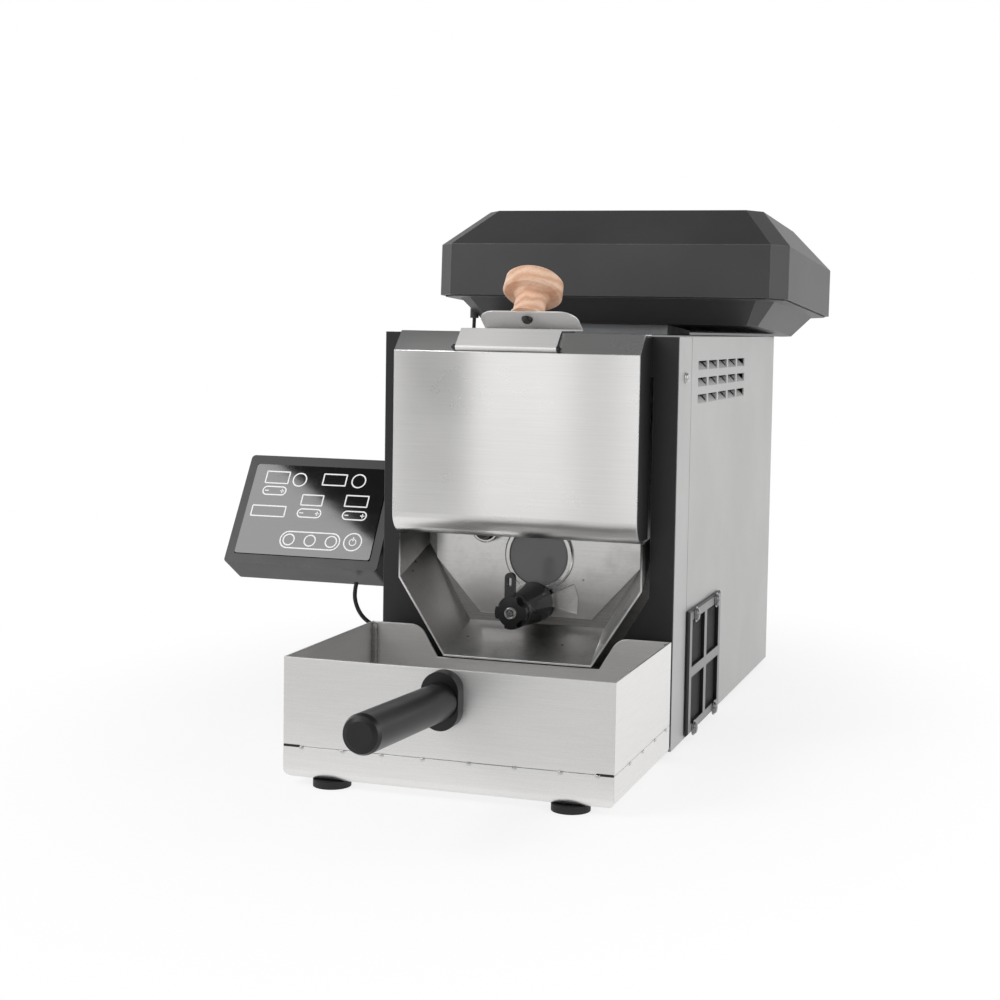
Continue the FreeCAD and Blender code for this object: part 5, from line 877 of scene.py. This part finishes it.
def weave(name, length, count, crossings, turned):
    """One family of wires of the cloth, as a flat mat in XY around the origin."""
    start_clean()
    bpy.ops.mesh.primitive_cube_add(size=MM, scale=(length, WIRE_MM, WIRE_MM * 0.5))
    wire = bpy.context.active_object
    bpy.ops.object.transform_apply(location=False, rotation=False, scale=True)
    bpy.ops.object.mode_set(mode="EDIT")
    vertices = wire.data.vertices
    pick("EDGE", lambda edge: abs((vertices[edge.vertices[0]].co - vertices[edge.vertices[1]].co).x) > 5 * MM)
    bpy.ops.mesh.subdivide(number_cuts=crossings - 1)
    step = length / crossings
    start = -length / 2
    pick("VERT", lambda vertex: round((vertex.co.x / MM - start) / step) % 2 == 0)
    bpy.ops.transform.translate(value=(0, 0, WEAVE_RISE_MM * MM))
    bpy.ops.object.mode_set(mode="OBJECT")
    rows = wire.modifiers.new("rows", "ARRAY")
    rows.use_relative_offset = False
    rows.use_constant_offset = True
    rows.constant_offset_displace = (0, PITCH_MM * MM, 0)
    rows.count = count
    bpy.ops.object.modifier_apply(modifier="rows")
    low = min(vertex.co.y for vertex in wire.data.vertices)
    high = max(vertex.co.y for vertex in wire.data.vertices)
    centre = Matrix.Translation((0, -(low + high) / 2, 0))
    spin = Matrix.Rotation(math.radians(90 if turned else 0), 4, "Z")
    middle = (mesh_low + mesh_high) / 2
    sink = UPRIGHT_SINK_MM if turned else LEVEL_SINK_MM
    lift = Matrix.Translation(middle + Vector((-sink * MM, 0, 0)))
    return settle(wire, name, "roaster", MESH_WIRE, lift @ FACE_OUT @ spin @ centre)


MESH_WIRE = powder_coat("black_coated_wire", "#3A3A3C", "#2E2E30", 0.40, 0.8, 0.01)
cloth = (mesh_high - mesh_low) / MM
rows_up = int((cloth.z - 2 * MARGIN_MM) / PITCH_MM)
rows_along = int((cloth.y - 2 * MARGIN_MM) / PITCH_MM)
for piece in (weave("mesh_wires_level", rows_along * PITCH_MM, rows_up, rows_along, False),
              weave("mesh_wires_upright", rows_up * PITCH_MM, rows_along, rows_up, True)):
    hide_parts("guard_mesh")
    print(piece.name, len(piece.data.polygons), "faces")
# painted shade: a thin dark sheet behind the cloth stands in for the shade inside the case
start_clean()
bpy.ops.mesh.primitive_plane_add(size=1, location=(0, 0, 0))
shade_sheet = bpy.context.active_object
shade_sheet.scale = ((cloth.y - MARGIN_MM) * MM, (cloth.z - MARGIN_MM) * MM, 1)
bpy.ops.object.transform_apply(location=False, rotation=False, scale=True)
bpy.ops.object.mode_set(mode="EDIT")
bpy.ops.mesh.bevel(offset=3 * MM, segments=4, affect="VERTICES")
bpy.ops.mesh.extrude_region_move(TRANSFORM_OT_translate={"value": (0, 0, 0.1 * MM)})
bpy.ops.object.mode_set(mode="OBJECT")
settle(shade_sheet, "mesh_shade_sheet", "roaster", RUBBER,
       Matrix.Translation(Vector((mesh_low.x + 0.02 * MM, (mesh_low.y + mesh_high.y) / 2,
                                  (mesh_low.z + mesh_high.z) / 2))) @ FACE_OUT)
print("cloth of", rows_up, "by", rows_along, "wires")

# %% [markdown]
# ## Studio walls
# A white room lights the machine from all sides.  One even white would light it flatly, so the rays that
# the camera, a mirror or a glass sends out find full white, and the light that falls on surfaces is
# weaker.  That leaves the lamps room to shape the forms on a white background.

# %% World
world = bpy.data.worlds.new("studio")
bpy.context.scene.world = world
world.use_nodes = True
sky = world.node_tree
sky.nodes.clear()
ray = add_node(sky, "ShaderNodeLightPath")
seen = add_node(sky, "ShaderNodeMath", operation="MAXIMUM",
                links={0: ray.outputs["Is Camera Ray"], 1: ray.outputs["Is Glossy Ray"]})
shown = add_node(sky, "ShaderNodeMath", links={0: seen.outputs["Value"],
                                               1: ray.outputs["Is Transmission Ray"]}, operation="MAXIMUM")
WORLD_LIGHT = 0.62
level = add_node(sky, "ShaderNodeMapRange", {"To Min": WORLD_LIGHT, "To Max": 1.0},
                 {"Value": shown.outputs["Value"]})
glow = add_node(sky, "ShaderNodeBackground", {"Color": (1, 1, 1, 1)}, {"Strength": level.outputs["Result"]})
add_node(sky, "ShaderNodeOutputWorld", links={"Surface": glow.outputs["Background"]})
print("world light", WORLD_LIGHT)

# %% [markdown]
# ## Floor
# The machine stands on white paper.  A plain matt floor would turn grey far away, and steel would mirror
# that grey.  Camera and mirror rays therefore find paper that glows white away from the machine, and near
# it a fifth of the paper stays matt, which keeps the soft contact shadow.

# %% Floor
start_clean()
bpy.ops.mesh.primitive_plane_add(size=24, location=(0, 0, 0))
floor = bpy.context.active_object
floor.name = "studio_floor"
sweep = bpy.data.materials.new("white_studio_paper")
sweep.use_nodes = True
paper = sweep.node_tree
paper.nodes.clear()
spread = add_node(paper, "ShaderNodeTexCoord")
oval = add_node(paper, "ShaderNodeMapping", {"Scale": (1.2, 0.8, 1)}, {"Vector": spread.outputs["Object"]})
far = add_node(paper, "ShaderNodeVectorMath", links={0: oval.outputs["Vector"]}, operation="LENGTH")
fade = add_node(paper, "ShaderNodeMapRange", {"From Min": 0.22, "From Max": 0.5, "To Min": 0.78},
                {"Value": far.outputs["Value"]}, interpolation_type="SMOOTHSTEP")
ray = add_node(paper, "ShaderNodeLightPath")
seen = add_node(paper, "ShaderNodeMath", links={0: ray.outputs["Is Camera Ray"],
                                                1: ray.outputs["Is Glossy Ray"]}, operation="MAXIMUM")
share = add_node(paper, "ShaderNodeMath", links={0: fade.outputs["Result"], 1: seen.outputs["Value"]},
                 operation="MULTIPLY")
matte = add_node(paper, "ShaderNodeBsdfDiffuse", {"Color": "#F7F7F7"})
white = add_node(paper, "ShaderNodeEmission", {"Color": (1, 1, 1, 1), "Strength": 1.0})
mixed = add_node(paper, "ShaderNodeMixShader", links={0: share.outputs["Value"], 1: matte.outputs["BSDF"],
                                                      2: white.outputs["Emission"]})
add_node(paper, "ShaderNodeOutputMaterial", links={"Surface": mixed.outputs["Shader"]})
floor.data.materials.append(sweep)
print("floor ready")

# %% [markdown]
# ## Reflection cards
# Bright steel in a white room mirrors only white and looks flat, so a studio hangs darker cards around it.
# Dark things in view would spoil the background.  These four cards are seen by reflections alone: one
# overhead, one beside the camera, one on the left and a pale one on the floor in front.

# %% Reflection cards


def reflection_card(name, place, size, turned, strength):
    """Grey studio card that only reflections see, so that steel has something darker to mirror."""
    start_clean()
    bpy.ops.mesh.primitive_plane_add(size=1, location=place, rotation=turned)
    card = bpy.context.active_object
    card.name = name
    card.scale = (*size, 1)
    cloth = bpy.data.materials.new(name + "_cloth")
    cloth.use_nodes = True
    tree = cloth.node_tree
    tree.nodes.clear()
    tone = add_node(tree, "ShaderNodeEmission", {"Color": (1, 1, 1, 1), "Strength": strength})
    add_node(tree, "ShaderNodeOutputMaterial", links={"Surface": tone.outputs["Emission"]})
    card.data.materials.append(cloth)
    card.visible_camera = False
    card.visible_diffuse = False
    card.visible_shadow = False
    card.visible_transmission = False


UPRIGHT = math.radians(90)
CARDS = (
    ("ceiling_card", (0.1, -0.2, 1.6), (5.0, 3.4), (0, 0, 0), 0.16),
    ("camera_side_card", (0.92, -1.75, 0.8), (1.9, 2.4), (UPRIGHT, 0, 0), 0.36),
    ("left_card", (-1.3, -1.4, 0.7), (1.34, 2.0), (UPRIGHT, 0, 0), 0.15),
    ("front_floor_card", (0.1, -0.6, 0.002), (1.1, 0.62), (0, 0, 0.15), 0.66),
)
for card in CARDS:
    reflection_card(*card)
print("reflection cards:", len(CARDS))

# %% [markdown]
# ## Lamps
# One soft lamp high on the left is the key light.  It is turned so that its edge runs slantwise over the
# panel's glass, which mirrors the lamp on one part and the dark ceiling card on the other.  A wide fill
# stands on the right.  Point lamps would give hard shadows, and an area lamp's size sets how soft a shadow
# is.

# %% Lamps


def softbox(name, place, aim, up, width, height, power):
    """Area lamp at a place, turned to a point, with its height along up and its power in watts."""
    data = bpy.data.lights.new(name, "AREA")
    data.shape = "RECTANGLE"
    data.size = width
    data.size_y = height
    data.energy = power
    lamp = bpy.data.objects.new(name, data)
    bpy.context.collection.objects.link(lamp)
    back = (Vector(place) - Vector(aim)).normalized()
    rise = (Vector(up) - back * back.dot(Vector(up))).normalized()
    side = rise.cross(back)
    turn = Matrix((side, rise, back)).transposed().to_4x4()
    lamp.matrix_world = Matrix.Translation(place) @ turn


KEY_PLACE = (-0.936, -0.999, 1.118)
KEY_AIM = (-0.302, -0.221, -0.063)
KEY_UP = (0.533, 0.517, 0.648)
softbox("key_softbox", KEY_PLACE, KEY_AIM, KEY_UP, 0.7, 0.65, 10)
softbox("right_fill", (1.9, -0.1, 0.9), (0.05, 0.0, 0.15), (0, 0, 1), 1.4, 1.2, 9)
print("studio ready")

# %% [markdown]
# ## Finish
# The Standard view transform shows white as white.

# %% View transform
bpy.context.scene.view_settings.view_transform = "Standard"
